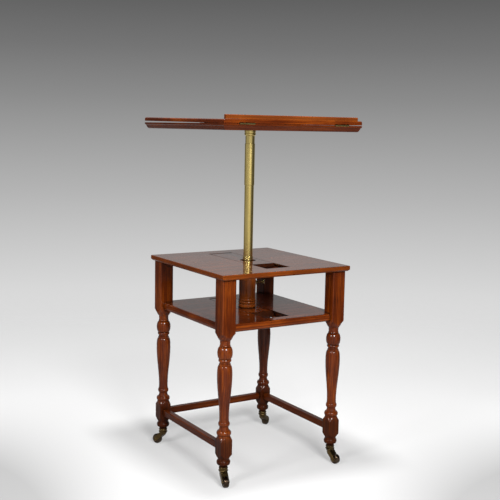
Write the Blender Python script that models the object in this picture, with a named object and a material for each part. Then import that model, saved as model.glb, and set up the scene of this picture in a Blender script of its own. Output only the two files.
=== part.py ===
"""A tilting reading table: a square two-tier table on turned legs and casters, with a brass
column that rises from a sliding carriage and carries a hinged reading slope on an easel strut.

The frame has its origin on the floor under the column. +Z is up, +X runs to the right for the
reader, who sits at the front, and -Y is the front, where the slope's hinges and book ledge are.
"""

import math

import bmesh
import bpy
from mathutils import Matrix

# Clearances and cuts
SEAT_GAP = 0.0003
CUT_OVERRUN = 0.003
MERGE_DISTANCE = 0.00001

# Facets round the turned pieces, and the angle over which an edge stays sharp
LEG_QUARTER_FACETS = 4
COLUMN_FACETS = 24
WHEEL_FACETS = 20
SOCKET_FACETS = 16
SMALL_FACETS = 12
KNUCKLE_FACETS = 10
PIN_FACETS = 8
BEAD_FACETS = 3
SWELL_FACETS = 4
SHOULDER_FACETS = 2
SHARP_ANGLE_DEGREES = 35

# Tabletop and undershelf
TABLETOP_WIDTH = 0.460
TABLETOP_DEPTH = 0.478
TABLETOP_HEIGHT = 0.6445
TABLETOP_THICKNESS = 0.017
TABLETOP_EDGE_CHAMFER = 0.005
TABLETOP_ARRIS = 0.0015
SHELF_HEIGHT = 0.491
SHELF_THICKNESS = 0.024
SHELF_EDGE_ROUND = 0.007
SHELF_SETBACK = 0.011
SHELF_HOUSING = 0.004

# Sliding carriage: the slot in both boards, the lip that holds the panels down, the rails below
SLOT_WIDTH = 0.086
SLOT_LENGTH = 0.356
CARRIAGE_TRAVEL = 0.090
GUIDE_LIP_THICKNESS = 0.0055
GUIDE_LIP_OVERLAP = 0.008
RAIL_THICKNESS = 0.006
RAIL_WIDTH = 0.020
RAIL_END_OVERLAP = 0.012

# Legs: square post, square block and the turned stretches between and below them
LEG_SIDE_INSET = 0.0308
LEG_FRONT_INSET = 0.0357
POST_SIDE = 0.046
POST_BOTTOM = 0.467
BLOCK_SIDE = 0.039
BLOCK_TOP = 0.140
BLOCK_BOTTOM = 0.097
CORNER_CHAMFER_SHARE = 0.13
LEG_TENON_RADIUS = 0.010
LEG_TENON_LENGTH = 0.009
LEG_SPIGOT_RADIUS = 0.011
LEG_SPIGOT_BOTTOM = 0.046

BLOCK_TOP_SHOULDER = 0.0125
BLOCK_BOTTOM_SHOULDER = 0.014
POST_SHOULDER = 0.012
SHOULDER_RADIUS_SHARES = (1, 1.15)

# Each move up a turned stretch: form, height share, radius share, fullness share
UPPER_TURNING_SHARES = (
    ("line", 0.011, 0.795, 0),
    ("bead", 0.057, 0.720, 0.200),
    ("line", 0.078, 0.605, 0),
    ("line", 0.098, 0.605, 0),
    ("bead", 0.139, 0.660, 0.120),
    ("line", 0.171, 0.625, 0),
    ("curve", 0.596, 1.000, 0),
    ("shoulder", 0.692, 0.800, 0),
    ("line", 0.713, 0.660, 0),
    ("bead", 0.752, 0.710, 0.080),
    ("ball", 0.881, 0.650, 0.300),
    ("line", 0.927, 0.690, 0),
    ("line", 0.940, 0.835, 0),
    ("line", 0.952, 0.935, 0),
)
LOWER_TURNING_SHARES = (
    ("line", 0.361, 0.564, 0),
    ("line", 0.492, 0.880, 0),
    ("ball", 0.867, 0.920, 0.165),
    ("line", 0.920, 0.890, 0),
)

# Stretchers between the lower blocks
STRETCHER_WIDTH = 0.020
STRETCHER_HEIGHT = 0.021
STRETCHER_CENTRE_HEIGHT = 0.116
STRETCHER_CHAMFER = 0.0015
STRETCHER_TENON_WIDTH = 0.010
STRETCHER_TENON_HEIGHT = 0.014
STRETCHER_TENON_LENGTH = 0.013

# Casters
WHEEL_RADIUS = 0.016
WHEEL_WIDTH = 0.016
WHEEL_TREAD_ROUND = 0.0025
CASTER_TRAIL = 0.0235
CASTER_TRAIL_DEGREES = {
    "front_left": -103,
    "front_right": -78,
    "back_left": 117,
    "back_right": 28,
}
SOCKET_RADIUS = 0.0146
SOCKET_TOP = 0.057
SOCKET_FLOOR_THICKNESS = 0.0025
SOCKET_RIM = 0.0012
SWIVEL_PIN_RADIUS = 0.003
SWIVEL_PIN_LENGTH = 0.012
FORK_CROWN_RADIUS = 0.013
FORK_CROWN_TAPER = 0.0015
FORK_CROWN_THICKNESS = 0.005
FORK_CHEEK_THICKNESS = 0.0024
FORK_SHOULDER_RADIUS = 0.0078
FORK_EYE_RADIUS = 0.0062
AXLE_RADIUS = 0.0022
AXLE_HEAD_RADIUS = 0.0034
AXLE_HEAD_THICKNESS = 0.001
WHEEL_SIDE_CLEARANCE = 0.0006
WHEEL_TREAD_CLEARANCE = 0.0014

# Turned sleeve on the carriage, with its brass collar, foot bush and lock screw
SLEEVE_RADIUS = 0.0255
SLEEVE_TOP_SPIGOT_RADIUS = 0.025
SLEEVE_FOOT_SPIGOT_RADIUS = 0.0215
SLEEVE_BASE_HEIGHT = 0.034
SLEEVE_BASE_SHARES = (
    (1.00, 0.00), (1.00, 0.30), (0.95, 0.38), (1.05, 0.48), (1.05, 0.68), (0.97, 0.76),
    (1.01, 0.88),
)
COLLAR_RISE = 0.0135
COLLAR_DEPTH = 0.040
COLLAR_WALL = 0.0010
COLLAR_RING = 0.0006
COLLAR_RING_SHARES = ((1, 0.00), (1, 0.30), (0, 0.40), (1, 0.52), (1, 0.68), (0, 0.80))
FOOT_BUSH_HEIGHT = 0.026
LOCK_HEIGHT_SHARE = 0.58
LOCK_NUT_RADIUS = 0.009
LOCK_NUT_STAND = 0.007
LOCK_NUT_SHANK_RADIUS = 0.006
LOCK_SCREW_RADIUS = 0.0028
LOCK_STEM_RADIUS = 0.0043
LOCK_STEM_LENGTH = 0.023
LOCK_HEAD_RADIUS = 0.008
LOCK_HEAD_THICKNESS = 0.006

# Brass column
LOWER_TUBE_RADIUS = 0.0149
LOWER_TUBE_WALL = 0.0015
LOWER_TUBE_DROP = 0.0275
UPPER_TUBE_WALL = 0.0008
UPPER_TUBE_CLEARANCE = 0.0004
UPPER_TUBE_LENGTH = 0.1315
UPPER_TUBE_DROP = 0.0615
HEAD_NECK_RADIUS = 0.0149
HEAD_RING_RADIUS = 0.018
HEAD_RING_HEIGHT = 0.0168
HEAD_RING_ROUND = 0.003
HEAD_PLATE_RADIUS = 0.045
HEAD_PLATE_THICKNESS = 0.0035

# Reading board, slope and book ledge
SEAM_HEIGHT = 1.079
SEAM_GAP = 0.0004
BOARD_WIDTH = 0.489
BOARD_DEPTH = 0.514
BOARD_THICKNESS = 0.019
BOARD_UNDERCUT = 0.009
BOARD_UNDERCUT_SHARES = ((1, 0), (0.66, 0.20), (0.30, 0.62), (0, 0.72))
SLOPE_THICKNESS = 0.012
SLOPE_EDGE_ROUND = 0.005
SLOPE_REST_DEGREES = 0.5
LEDGE_DEPTH = 0.009
LEDGE_HEIGHT = 0.0125
LEDGE_LEFT_SETBACK = 0.005
LEDGE_RIGHT_SETBACK = 0.017
LEDGE_ROUND = 0.003

# Butt hinges in the front seam
HINGE_LENGTH = 0.051
HINGE_SPACING_SHARE = 0.687
HINGE_PLATE_DEPTH = 0.018
HINGE_PLATE_THICKNESS = 0.0012
HINGE_KNUCKLE_RADIUS = 0.0026
HINGE_PIN_RADIUS = 0.0011
HINGE_KNUCKLE_COUNT = 5

# Easel strut between board and slope, and its ratchet racks
STRUT_LENGTH = 0.215
STRUT_WIDTH = 0.138
STRUT_THICKNESS = 0.008
STRUT_ARM_WIDTH = 0.014
STRUT_HEAD_DEPTH = 0.016
STRUT_BAR_DEPTH = 0.014
STRUT_BAR_SETBACK = 0.040
FOOT_ROD_RADIUS = 0.0022
PIVOT_PIN_RADIUS = 0.0018
BRACKET_THICKNESS = 0.0045
BRACKET_LENGTH = 0.012
BRACKET_FOOT_WIDTH = 0.010
BRACKET_FOOT_THICKNESS = 0.0014
BRACKET_DROP = 0.003
RACK_WIDTH = 0.011
RACK_PITCH = 0.0125
RACK_TOOTH_COUNT = 17
RACK_TOOTH_DEPTH = 0.003
RACK_BODY = 0.006
RACK_SIDE_CLEARANCE = 0.0015
POCKET_DEPTH = 0.005
POCKET_MARGIN = 0.010

# Heights and places worked out from the sizes above
TABLETOP_UNDERSIDE = TABLETOP_HEIGHT - TABLETOP_THICKNESS
SHELF_UNDERSIDE = SHELF_HEIGHT - SHELF_THICKNESS
LEG_X = TABLETOP_WIDTH / 2 - LEG_SIDE_INSET
LEG_Y = TABLETOP_DEPTH / 2 - LEG_FRONT_INSET
SLOPE_REST = math.radians(SLOPE_REST_DEGREES)
BOARD_FRONT = (HINGE_KNUCKLE_RADIUS - BOARD_DEPTH) / 2
BOARD_UNDERSIDE = SEAM_HEIGHT - SEAM_GAP / 2 - BOARD_THICKNESS
POCKET_HALF_WIDTH = (
    STRUT_WIDTH / 2 + BRACKET_THICKNESS + RACK_WIDTH + 2 * RACK_SIDE_CLEARANCE + 2 * SEAT_GAP
)
LOCK_HEIGHT = SHELF_HEIGHT + (TABLETOP_UNDERSIDE - SHELF_HEIGHT) * LOCK_HEIGHT_SHARE
UPPER_TUBE_TOP = SEAM_HEIGHT - UPPER_TUBE_DROP
UPPER_TUBE_BOTTOM = UPPER_TUBE_TOP - UPPER_TUBE_LENGTH
LOWER_TUBE_TOP = UPPER_TUBE_TOP - LOWER_TUBE_DROP
COLLAR_BORE = LOWER_TUBE_RADIUS + SEAT_GAP
BUSH_RADIUS = COLLAR_BORE + COLLAR_WALL
SLEEVE_BORE = BUSH_RADIUS + SEAT_GAP
SIDES = {"left": -1, "right": 1}
CORNERS = {
    "front_left": (-1, -1),
    "front_right": (1, -1),
    "back_left": (-1, 1),
    "back_right": (1, 1),
}


def make_material(name, colour, roughness, metallic):
    """A plain finish: base colour, roughness and metallic value."""
    finish = bpy.data.materials.new(name)
    finish.use_nodes = True
    shader = finish.node_tree.nodes["Principled BSDF"]
    shader.inputs["Base Color"].default_value = (*colour, 1)
    shader.inputs["Roughness"].default_value = roughness
    shader.inputs["Metallic"].default_value = metallic
    finish.diffuse_color = (*colour, 1)
    return finish


def make_empty(name, location, parent=None):
    """An empty on a joint's axis, which carries the pieces that move there."""
    empty = bpy.data.objects.new(name, None)
    empty.location = location
    empty.parent = parent
    bpy.context.scene.collection.objects.link(empty)
    return empty


def make_object(name, shape, finish=None, parent=None, smooth=False):
    """Turns a bmesh into an object whose mesh stands in its parent's frame."""
    mesh = bpy.data.meshes.new(name)
    shape.to_mesh(mesh)
    shape.free()
    if smooth:
        mesh.shade_smooth()
        mesh.set_sharp_from_angle(angle=math.radians(SHARP_ANGLE_DEGREES))
    piece = bpy.data.objects.new(name, mesh)
    piece.parent = parent
    if finish:
        mesh.materials.append(finish)
    bpy.context.scene.collection.objects.link(piece)
    return piece


def combine(piece, other, operation):
    """Adds a Boolean of one object on another, and hides the second."""
    other.parent = piece.parent
    other.location = piece.location
    other.hide_render = True
    other.display_type = "WIRE"
    step = piece.modifiers.new(other.name, "BOOLEAN")
    step.operation = operation
    step.solver = "EXACT"
    step.object = other


def cut(piece, shape):
    """Cuts a shape, given in the piece's own frame, out of the piece."""
    combine(piece, make_object(f"{piece.name}_cutter", shape), "DIFFERENCE")


def join(piece, shape):
    """Fuses a shape, given in the piece's own frame, with the piece."""
    combine(piece, make_object(f"{piece.name}_addition", shape), "UNION")


def block(low, high):
    """A rectangular block between two opposite corners."""
    shape = bmesh.new()
    bmesh.ops.create_cube(shape, size=1)
    middle = [(a + b) / 2 for a, b in zip(low, high)]
    size = [b - a for a, b in zip(low, high)]
    bmesh.ops.scale(shape, vec=size, verts=shape.verts)
    bmesh.ops.translate(shape, vec=middle, verts=shape.verts)
    return shape


def turned(outline, facets, hollow=False):
    """A body turned about Z from (radius, height) points; a hollow one has a closed outline."""
    shape = bmesh.new()
    points = [shape.verts.new((radius, 0, height)) for radius, height in outline]
    edges = [shape.edges.new(pair) for pair in zip(points, points[1:])]
    if hollow:
        edges.append(shape.edges.new((points[-1], points[0])))
    bmesh.ops.spin(
        shape, geom=points + edges, cent=(0, 0, 0), axis=(0, 0, 1), angle=math.tau, steps=facets,
        use_merge=True,
    )
    bmesh.ops.remove_doubles(shape, verts=shape.verts, dist=MERGE_DISTANCE)
    bmesh.ops.recalc_face_normals(shape, faces=shape.faces)
    return shape


def rod(radius, low, high, facets=SMALL_FACETS):
    """A plain cylinder on Z."""
    return turned([(0, low), (radius, low), (radius, high), (0, high)], facets)


def along_x(shape):
    """Turns a body made on Z so that it lies along +X."""
    shape.transform(Matrix.Rotation(math.pi / 2, 4, "Y"))
    return shape


def along_y(shape):
    """Turns a body made on Z so that it lies along -Y and +Y."""
    shape.transform(Matrix.Rotation(math.pi / 2, 4, "X"))
    return shape


def moved(shape, x=0, y=0, z=0):
    """Shifts a bmesh."""
    bmesh.ops.translate(shape, vec=(x, y, z), verts=shape.verts)
    return shape


def lofted(rings):
    """A closed body through rings of equal count, capped at both ends."""
    shape = bmesh.new()
    rows = [[shape.verts.new(point) for point in ring] for ring in rings]
    for low, high in zip(rows, rows[1:]):
        for i in range(len(low)):
            shape.faces.new((low[i - 1], low[i], high[i], high[i - 1]))
    shape.faces.new(rows[0])
    shape.faces.new(rows[-1])
    bmesh.ops.recalc_face_normals(shape, faces=shape.faces)
    return shape


def prism_x(outline, low, high):
    """A straight bar along X from its (y, z) outline."""
    return lofted([[(x, y, z) for y, z in outline] for x in (low, high)])


def prism_y(outline, low, high):
    """A straight bar along Y from its (x, z) outline."""
    return lofted([[(x, y, z) for x, z in outline] for y in (low, high)])


def prism_z(outline, low, high):
    """A straight plate from its (x, y) outline."""
    return lofted([[(x, y, z) for x, y in outline] for z in (low, high)])


def arc(middle, radius, start_degrees, end_degrees, steps):
    """Points on an arc about a middle, in the plane of its two coordinates."""
    points = []
    for step in range(steps + 1):
        angle = math.radians(start_degrees + (end_degrees - start_degrees) * step / steps)
        points.append((
            middle[0] + radius * math.cos(angle),
            middle[1] + radius * math.sin(angle),
        ))
    return points


def moulded_board(width, front, back, layers, plain_front=False):
    """A rectangular board whose edge steps in by each layer's inset at its height."""
    rings = []
    for inset, height in layers:
        side = width / 2 - inset
        near = front if plain_front else front + inset
        far = back - inset
        rings.append(
            [(-side, near, height), (side, near, height), (side, far, height), (-side, far, height)]
        )
    return lofted(rings)


def quarter_round(radius, low, high, steps, upward):
    """(inset, height) points of a rounded edge between two heights, from full width to inset."""
    points = []
    for step in range(steps + 1):
        angle = math.pi / 2 * step / steps
        inset = radius * (1 - math.cos(angle))
        rise = (high - low) * math.sin(angle)
        points.append((inset, low + rise) if upward else (inset, high - rise))
    return points if upward else points[::-1]


def turning_heights(moves, low, high, radius):
    """(height, radius) points up a turned stretch, from its table of shares."""
    facets = {
        "line": 1, "bead": BEAD_FACETS, "ball": SWELL_FACETS, "curve": SWELL_FACETS,
        "shoulder": SHOULDER_FACETS,
    }
    points = []
    last_height, last_radius = low, radius
    for form, height_share, radius_share, fullness_share in moves:
        height = low + (high - low) * height_share
        end_radius = radius * radius_share
        steps = facets[form]
        for step in range(1, steps + 1):
            share = step / steps
            sweep = (1 - math.cos(math.pi * share)) / 2
            if form in ("bead", "ball"):
                between = last_radius + (end_radius - last_radius) * share
                points.append((
                    last_height + (height - last_height) * sweep,
                    between + radius * fullness_share * math.sin(math.pi * share),
                ))
            elif form == "shoulder":
                angle = math.pi / 2 * share
                points.append((
                    last_height + (height - last_height) * math.sin(angle),
                    end_radius + (last_radius - end_radius) * math.cos(angle),
                ))
            else:
                points.append((
                    last_height + (height - last_height) * share,
                    last_radius + (end_radius - last_radius) * sweep,
                ))
        last_height, last_radius = height, end_radius
    return points


def leg_ring(height, radius, side):
    """A ring of the leg: the lathe's circle where it has cut below the square stock's faces."""
    half = side / 2
    round_here = radius <= half
    even = math.pi / 4 * (1 - 1 / LEG_QUARTER_FACETS)
    corner = even if round_here else math.atan(1 - CORNER_CHAMFER_SHARE)
    ring = []
    for quarter in range(4):
        for step in range(LEG_QUARTER_FACETS):
            offset = corner * (2 * step / (LEG_QUARTER_FACETS - 1) - 1)
            reach = radius if round_here else min(radius, half / math.cos(offset))
            angle = math.pi / 2 * quarter + offset
            ring.append((reach * math.cos(angle), reach * math.sin(angle), height))
    return ring


def shoulder_rings(neck, edge, side):
    """Rings where the lathe's cut runs out over the square's faces, from its neck to its edge."""
    rings = []
    for number, radius_share in enumerate(SHOULDER_RADIUS_SHARES):
        height = neck + (edge - neck) * number / len(SHOULDER_RADIUS_SHARES)
        rings.append(leg_ring(height, side / 2 * radius_share, side))
    return rings


def leg_shape():
    """One leg on its own axis: spigot, bun foot, square block, vase turning and square post."""
    spigot_bottom = LEG_SPIGOT_BOTTOM + SEAT_GAP
    post_top = TABLETOP_UNDERSIDE - SEAT_GAP
    tenon_top = post_top + LEG_TENON_LENGTH
    lower_neck = BLOCK_BOTTOM - BLOCK_BOTTOM_SHOULDER
    upper_neck = BLOCK_TOP + BLOCK_TOP_SHOULDER
    lower = turning_heights(LOWER_TURNING_SHARES, spigot_bottom, lower_neck, BLOCK_SIDE / 2)
    upper = turning_heights(UPPER_TURNING_SHARES, upper_neck, POST_BOTTOM, POST_SIDE / 2)
    rings = [leg_ring(spigot_bottom, LEG_SPIGOT_RADIUS, POST_SIDE)]
    rings += [leg_ring(height, radius, POST_SIDE) for height, radius in lower]
    rings += shoulder_rings(lower_neck, BLOCK_BOTTOM, BLOCK_SIDE)
    rings += [leg_ring(height, BLOCK_SIDE, BLOCK_SIDE) for height in (BLOCK_BOTTOM, BLOCK_TOP)]
    rings += shoulder_rings(upper_neck, BLOCK_TOP, BLOCK_SIDE)[::-1]
    rings += [leg_ring(height, radius, POST_SIDE) for height, radius in upper]
    rings += shoulder_rings(POST_BOTTOM - POST_SHOULDER, POST_BOTTOM, POST_SIDE)
    rings += [leg_ring(height, POST_SIDE, POST_SIDE) for height in (POST_BOTTOM, post_top)]
    rings += [leg_ring(height, LEG_TENON_RADIUS, POST_SIDE) for height in (post_top, tenon_top)]
    shape = lofted(rings)
    bmesh.ops.triangulate(shape, faces=shape.faces)
    return shape


def stretcher_shape(length):
    """A stretcher along X about its own middle, with a tenon at each end."""
    half_width = STRETCHER_WIDTH / 2
    half_height = STRETCHER_HEIGHT / 2
    chamfer = STRETCHER_CHAMFER
    section = [
        (half_width - chamfer, -half_height),
        (half_width, chamfer - half_height),
        (half_width, half_height - chamfer),
        (half_width - chamfer, half_height),
        (chamfer - half_width, half_height),
        (-half_width, half_height - chamfer),
        (-half_width, chamfer - half_height),
        (chamfer - half_width, -half_height),
    ]
    tenon_y = STRETCHER_TENON_WIDTH / half_width / 2
    tenon_z = STRETCHER_TENON_HEIGHT / half_height / 2
    tenon = [(y * tenon_y, z * tenon_z) for y, z in section]
    shoulder = length / 2 - SEAT_GAP
    tip = shoulder + STRETCHER_TENON_LENGTH
    places = ((-tip, tenon), (-shoulder, tenon), (-shoulder, section),
              (shoulder, section), (shoulder, tenon), (tip, tenon))
    return lofted([[(x, y, z) for y, z in outline] for x, outline in places])


def mortise(direction_x, direction_y):
    """The pocket for a stretcher's tenon in a block's face, on the leg's own axis."""
    half_width = STRETCHER_TENON_WIDTH / 2 + SEAT_GAP
    half_height = STRETCHER_TENON_HEIGHT / 2 + SEAT_GAP
    outer = BLOCK_SIDE / 2 + CUT_OVERRUN
    inner = BLOCK_SIDE / 2 - STRETCHER_TENON_LENGTH - SEAT_GAP
    middle = (outer + inner) / 2
    half_depth = (outer - inner) / 2
    x, y = middle * direction_x, middle * direction_y
    reach_x = half_depth if direction_x else half_width
    reach_y = half_depth if direction_y else half_width
    return block(
        (x - reach_x, y - reach_y, STRETCHER_CENTRE_HEIGHT - half_height),
        (x + reach_x, y + reach_y, STRETCHER_CENTRE_HEIGHT + half_height),
    )


def shelf_half_sizes():
    """Half the undershelf's width and depth: it stops short of the posts' outer faces."""
    past_leg = POST_SIDE / 2 - SHELF_SETBACK
    return LEG_X + past_leg, LEG_Y + past_leg


def build_legs(wood):
    """Four legs, each with shallow housings for the shelf and mortises for its stretchers."""
    reach = POST_SIDE / 2 - SHELF_SETBACK + SEAT_GAP
    inner = POST_SIDE / 2 - SHELF_HOUSING - SEAT_GAP
    outside = POST_SIDE / 2 + CUT_OVERRUN
    for corner, (sign_x, sign_y) in CORNERS.items():
        leg = make_object(f"leg_{corner}", leg_shape(), wood, smooth=True)
        leg.location = (LEG_X * sign_x, LEG_Y * sign_y, 0)
        for end_x, end_y in ((-inner, reach), (reach, -inner)):
            xs = sorted((-outside * sign_x, end_x * sign_x))
            ys = sorted((-outside * sign_y, end_y * sign_y))
            cut(leg, block(
                (xs[0], ys[0], SHELF_UNDERSIDE - SEAT_GAP),
                (xs[1], ys[1], SHELF_HEIGHT + SEAT_GAP),
            ))
        cut(leg, mortise(0, -sign_y))
        if sign_y > 0:
            cut(leg, mortise(-sign_x, 0))
        pin_hole_top = LEG_SPIGOT_BOTTOM + SWIVEL_PIN_LENGTH + SEAT_GAP
        cut(leg, rod(
            SWIVEL_PIN_RADIUS + 2 * SEAT_GAP, LEG_SPIGOT_BOTTOM - CUT_OVERRUN, pin_hole_top
        ))


def build_stretchers(wood):
    """Side stretchers on the left and right and one at the back; the front is open."""
    side_length = 2 * LEG_Y - BLOCK_SIDE
    back_length = 2 * LEG_X - BLOCK_SIDE
    for side, sign in SIDES.items():
        bar = make_object(f"stretcher_{side}", stretcher_shape(side_length), wood)
        bar.location = (LEG_X * sign, 0, STRETCHER_CENTRE_HEIGHT)
        bar.rotation_euler = (0, 0, math.pi / 2)
    bar = make_object("stretcher_back", stretcher_shape(back_length), wood)
    bar.location = (0, LEG_Y, STRETCHER_CENTRE_HEIGHT)


def cut_slideway(board, top, thickness):
    """Cuts the slot, the groove under its lip and the seats for the two rails."""
    half = SLOT_WIDTH / 2
    end = SLOT_LENGTH / 2
    bottom = top - thickness
    groove = half + GUIDE_LIP_OVERLAP
    rail_edge = half + RAIL_WIDTH + SEAT_GAP
    rail_end = end + RAIL_END_OVERLAP + SEAT_GAP
    low = bottom - CUT_OVERRUN
    cut(board, block((-half, -end, low), (half, end, top + CUT_OVERRUN)))
    cut(board, block((-groove, -end, low), (groove, end, top - GUIDE_LIP_THICKNESS)))
    cut(board, block(
        (-rail_edge, -rail_end, low), (rail_edge, rail_end, bottom + RAIL_THICKNESS + SEAT_GAP)
    ))


def build_tabletop(wood):
    """The upper board: eased top arris, square edge and a chamfer beneath."""
    half_depth = TABLETOP_DEPTH / 2
    chamfer = TABLETOP_EDGE_CHAMFER
    layers = [
        (chamfer, TABLETOP_UNDERSIDE),
        (0, TABLETOP_UNDERSIDE + chamfer),
        (0, TABLETOP_HEIGHT - TABLETOP_ARRIS),
        (TABLETOP_ARRIS, TABLETOP_HEIGHT),
    ]
    board = moulded_board(TABLETOP_WIDTH, -half_depth, half_depth, layers)
    tabletop = make_object("tabletop", board, wood)
    cut_slideway(tabletop, TABLETOP_HEIGHT, TABLETOP_THICKNESS)
    hole_top = TABLETOP_UNDERSIDE + LEG_TENON_LENGTH + SEAT_GAP
    for sign_x, sign_y in CORNERS.values():
        hole = rod(LEG_TENON_RADIUS + 2 * SEAT_GAP, TABLETOP_UNDERSIDE - CUT_OVERRUN, hole_top)
        cut(tabletop, moved(hole, LEG_X * sign_x, LEG_Y * sign_y))


def build_undershelf(wood):
    """The lower board, rounded along its edges and notched round the posts at its corners."""
    half_width, half_depth = shelf_half_sizes()
    middle = SHELF_HEIGHT - SHELF_THICKNESS / 2
    layers = quarter_round(SHELF_EDGE_ROUND, SHELF_UNDERSIDE, middle, 3, upward=False)
    layers += quarter_round(SHELF_EDGE_ROUND, middle, SHELF_HEIGHT, 3, upward=True)[1:]
    board = moulded_board(2 * half_width, -half_depth, half_depth, layers)
    shelf = make_object("undershelf", board, wood)
    for sign_x, sign_y in CORNERS.values():
        notch = POST_SIDE / 2 - SHELF_HOUSING
        xs = sorted(((LEG_X - notch) * sign_x, (half_width + CUT_OVERRUN) * sign_x))
        ys = sorted(((LEG_Y - notch) * sign_y, (half_depth + CUT_OVERRUN) * sign_y))
        cut(shelf, block(
            (xs[0], ys[0], SHELF_UNDERSIDE - CUT_OVERRUN),
            (xs[1], ys[1], SHELF_HEIGHT + CUT_OVERRUN),
        ))
    cut_slideway(shelf, SHELF_HEIGHT, SHELF_THICKNESS)


def build_rails(wood):
    """Two rails let into the underside of each board, which carry the sliding panels."""
    start = SLOT_WIDTH / 2
    end = SLOT_LENGTH / 2 + RAIL_END_OVERLAP
    for level, bottom in (("table", TABLETOP_UNDERSIDE), ("shelf", SHELF_UNDERSIDE)):
        for side, sign in SIDES.items():
            edges = sorted((start * sign, (start + RAIL_WIDTH) * sign))
            rail = block((edges[0], -end, bottom), (edges[1], end, bottom + RAIL_THICKNESS))
            make_object(f"{level}_rail_{side}", rail, wood)


def panel_shape(top, thickness, hole_radius):
    """A sliding panel: flush between the lips, with a flange on each side below them."""
    half = SLOT_WIDTH / 2 - SEAT_GAP
    flange_half = half + GUIDE_LIP_OVERLAP
    step = top - GUIDE_LIP_THICKNESS - SEAT_GAP
    bottom = top - thickness + RAIL_THICKNESS + SEAT_GAP
    back = SLOT_LENGTH / 2 - SEAT_GAP
    front = -SLOT_LENGTH / 2 + SEAT_GAP + CARRIAGE_TRAVEL
    section = [
        (-flange_half, bottom), (flange_half, bottom), (flange_half, step), (half, step),
        (half, top), (-half, top), (-half, step), (-flange_half, step),
    ]
    shape = prism_y(section, front, back)
    hole = rod(hole_radius, bottom - CUT_OVERRUN, top + CUT_OVERRUN, COLUMN_FACETS)
    return shape, hole, bottom


def build_carriage(carriage, wood, brass):
    """The two sliding panels, the turned sleeve that joins them and the sleeve's brass."""
    table_hole = SLEEVE_TOP_SPIGOT_RADIUS + SEAT_GAP
    shelf_hole = SLEEVE_FOOT_SPIGOT_RADIUS + SEAT_GAP
    shape, hole, table_bottom = panel_shape(TABLETOP_HEIGHT, TABLETOP_THICKNESS, table_hole)
    cut(make_object("table_slide_panel", shape, wood, carriage), hole)
    shape, hole, shelf_bottom = panel_shape(SHELF_HEIGHT, SHELF_THICKNESS, shelf_hole)
    cut(make_object("shelf_slide_panel", shape, wood, carriage), hole)

    foot = SHELF_HEIGHT + SEAT_GAP
    base = SLEEVE_BASE_HEIGHT
    shoulder = table_bottom - SEAT_GAP
    radius = SLEEVE_RADIUS
    outline = [(SLEEVE_BORE, shelf_bottom), (SLEEVE_FOOT_SPIGOT_RADIUS, shelf_bottom),
               (SLEEVE_FOOT_SPIGOT_RADIUS, foot)]
    outline += [(radius * wide, foot + base * up) for wide, up in SLEEVE_BASE_SHARES]
    outline += [
        (radius, foot + 2 * base), (radius, shoulder),
        (SLEEVE_TOP_SPIGOT_RADIUS, shoulder), (SLEEVE_TOP_SPIGOT_RADIUS, TABLETOP_HEIGHT),
        (SLEEVE_BORE, TABLETOP_HEIGHT),
    ]
    sleeve = make_object(
        "turned_sleeve", turned(outline, COLUMN_FACETS, hollow=True), wood, carriage, smooth=True
    )
    nut_hole = rod(LOCK_NUT_SHANK_RADIUS + SEAT_GAP, 0, SLEEVE_RADIUS + CUT_OVERRUN)
    cut(sleeve, moved(along_x(nut_hole), z=LOCK_HEIGHT))

    stand = TABLETOP_HEIGHT + SEAT_GAP
    ring = BUSH_RADIUS + SEAT_GAP + COLLAR_RING
    bore = COLLAR_BORE
    outline = [(bore, stand - COLLAR_DEPTH), (BUSH_RADIUS, stand - COLLAR_DEPTH),
               (BUSH_RADIUS, stand)]
    outline += [
        (ring - COLLAR_RING * (1 - out), stand + COLLAR_RISE * up)
        for out, up in COLLAR_RING_SHARES
    ]
    outline.append((bore, stand + COLLAR_RISE))
    make_object(
        "column_collar", turned(outline, COLUMN_FACETS, hollow=True), brass, carriage, smooth=True
    )
    outline = [
        (bore, shelf_bottom), (BUSH_RADIUS, shelf_bottom),
        (BUSH_RADIUS, shelf_bottom + FOOT_BUSH_HEIGHT), (bore, shelf_bottom + FOOT_BUSH_HEIGHT),
    ]
    make_object(
        "foot_bush", turned(outline, COLUMN_FACETS, hollow=True), brass, carriage, smooth=True
    )


def build_lock(carriage, brass):
    """The brass nut let into the sleeve's right side, and the screw that grips the column."""
    face = SLEEVE_RADIUS + SEAT_GAP
    bore = LOCK_SCREW_RADIUS + SEAT_GAP
    outer = face + LOCK_NUT_STAND
    inner = SLEEVE_BORE + SEAT_GAP
    outline = [
        (bore, inner), (LOCK_NUT_SHANK_RADIUS, inner), (LOCK_NUT_SHANK_RADIUS, face),
        (LOCK_NUT_RADIUS, face), (LOCK_NUT_RADIUS, face + LOCK_NUT_STAND / 2),
        (LOCK_NUT_SHANK_RADIUS, outer), (bore, outer),
    ]
    nut = turned(outline, SMALL_FACETS, hollow=True)
    make_object("lock_nut", moved(along_x(nut), z=LOCK_HEIGHT), brass, carriage, smooth=True)

    axis = make_empty("lock_screw_axis", (0, 0, LOCK_HEIGHT), carriage)
    tip = LOWER_TUBE_RADIUS + SEAT_GAP
    stem = outer + SEAT_GAP
    head = stem + LOCK_STEM_LENGTH
    end = head + LOCK_HEAD_THICKNESS
    rim = LOCK_HEAD_THICKNESS / 4
    outline = [
        (0, tip), (LOCK_SCREW_RADIUS, tip), (LOCK_SCREW_RADIUS, stem), (LOCK_STEM_RADIUS, stem),
        (LOCK_STEM_RADIUS, head), (LOCK_HEAD_RADIUS - rim, head), (LOCK_HEAD_RADIUS, head + rim),
        (LOCK_HEAD_RADIUS, end - rim), (LOCK_HEAD_RADIUS - rim, end), (0, end),
    ]
    make_object(
        "lock_screw", along_x(turned(outline, SMALL_FACETS)), brass, axis, smooth=True
    )


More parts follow.
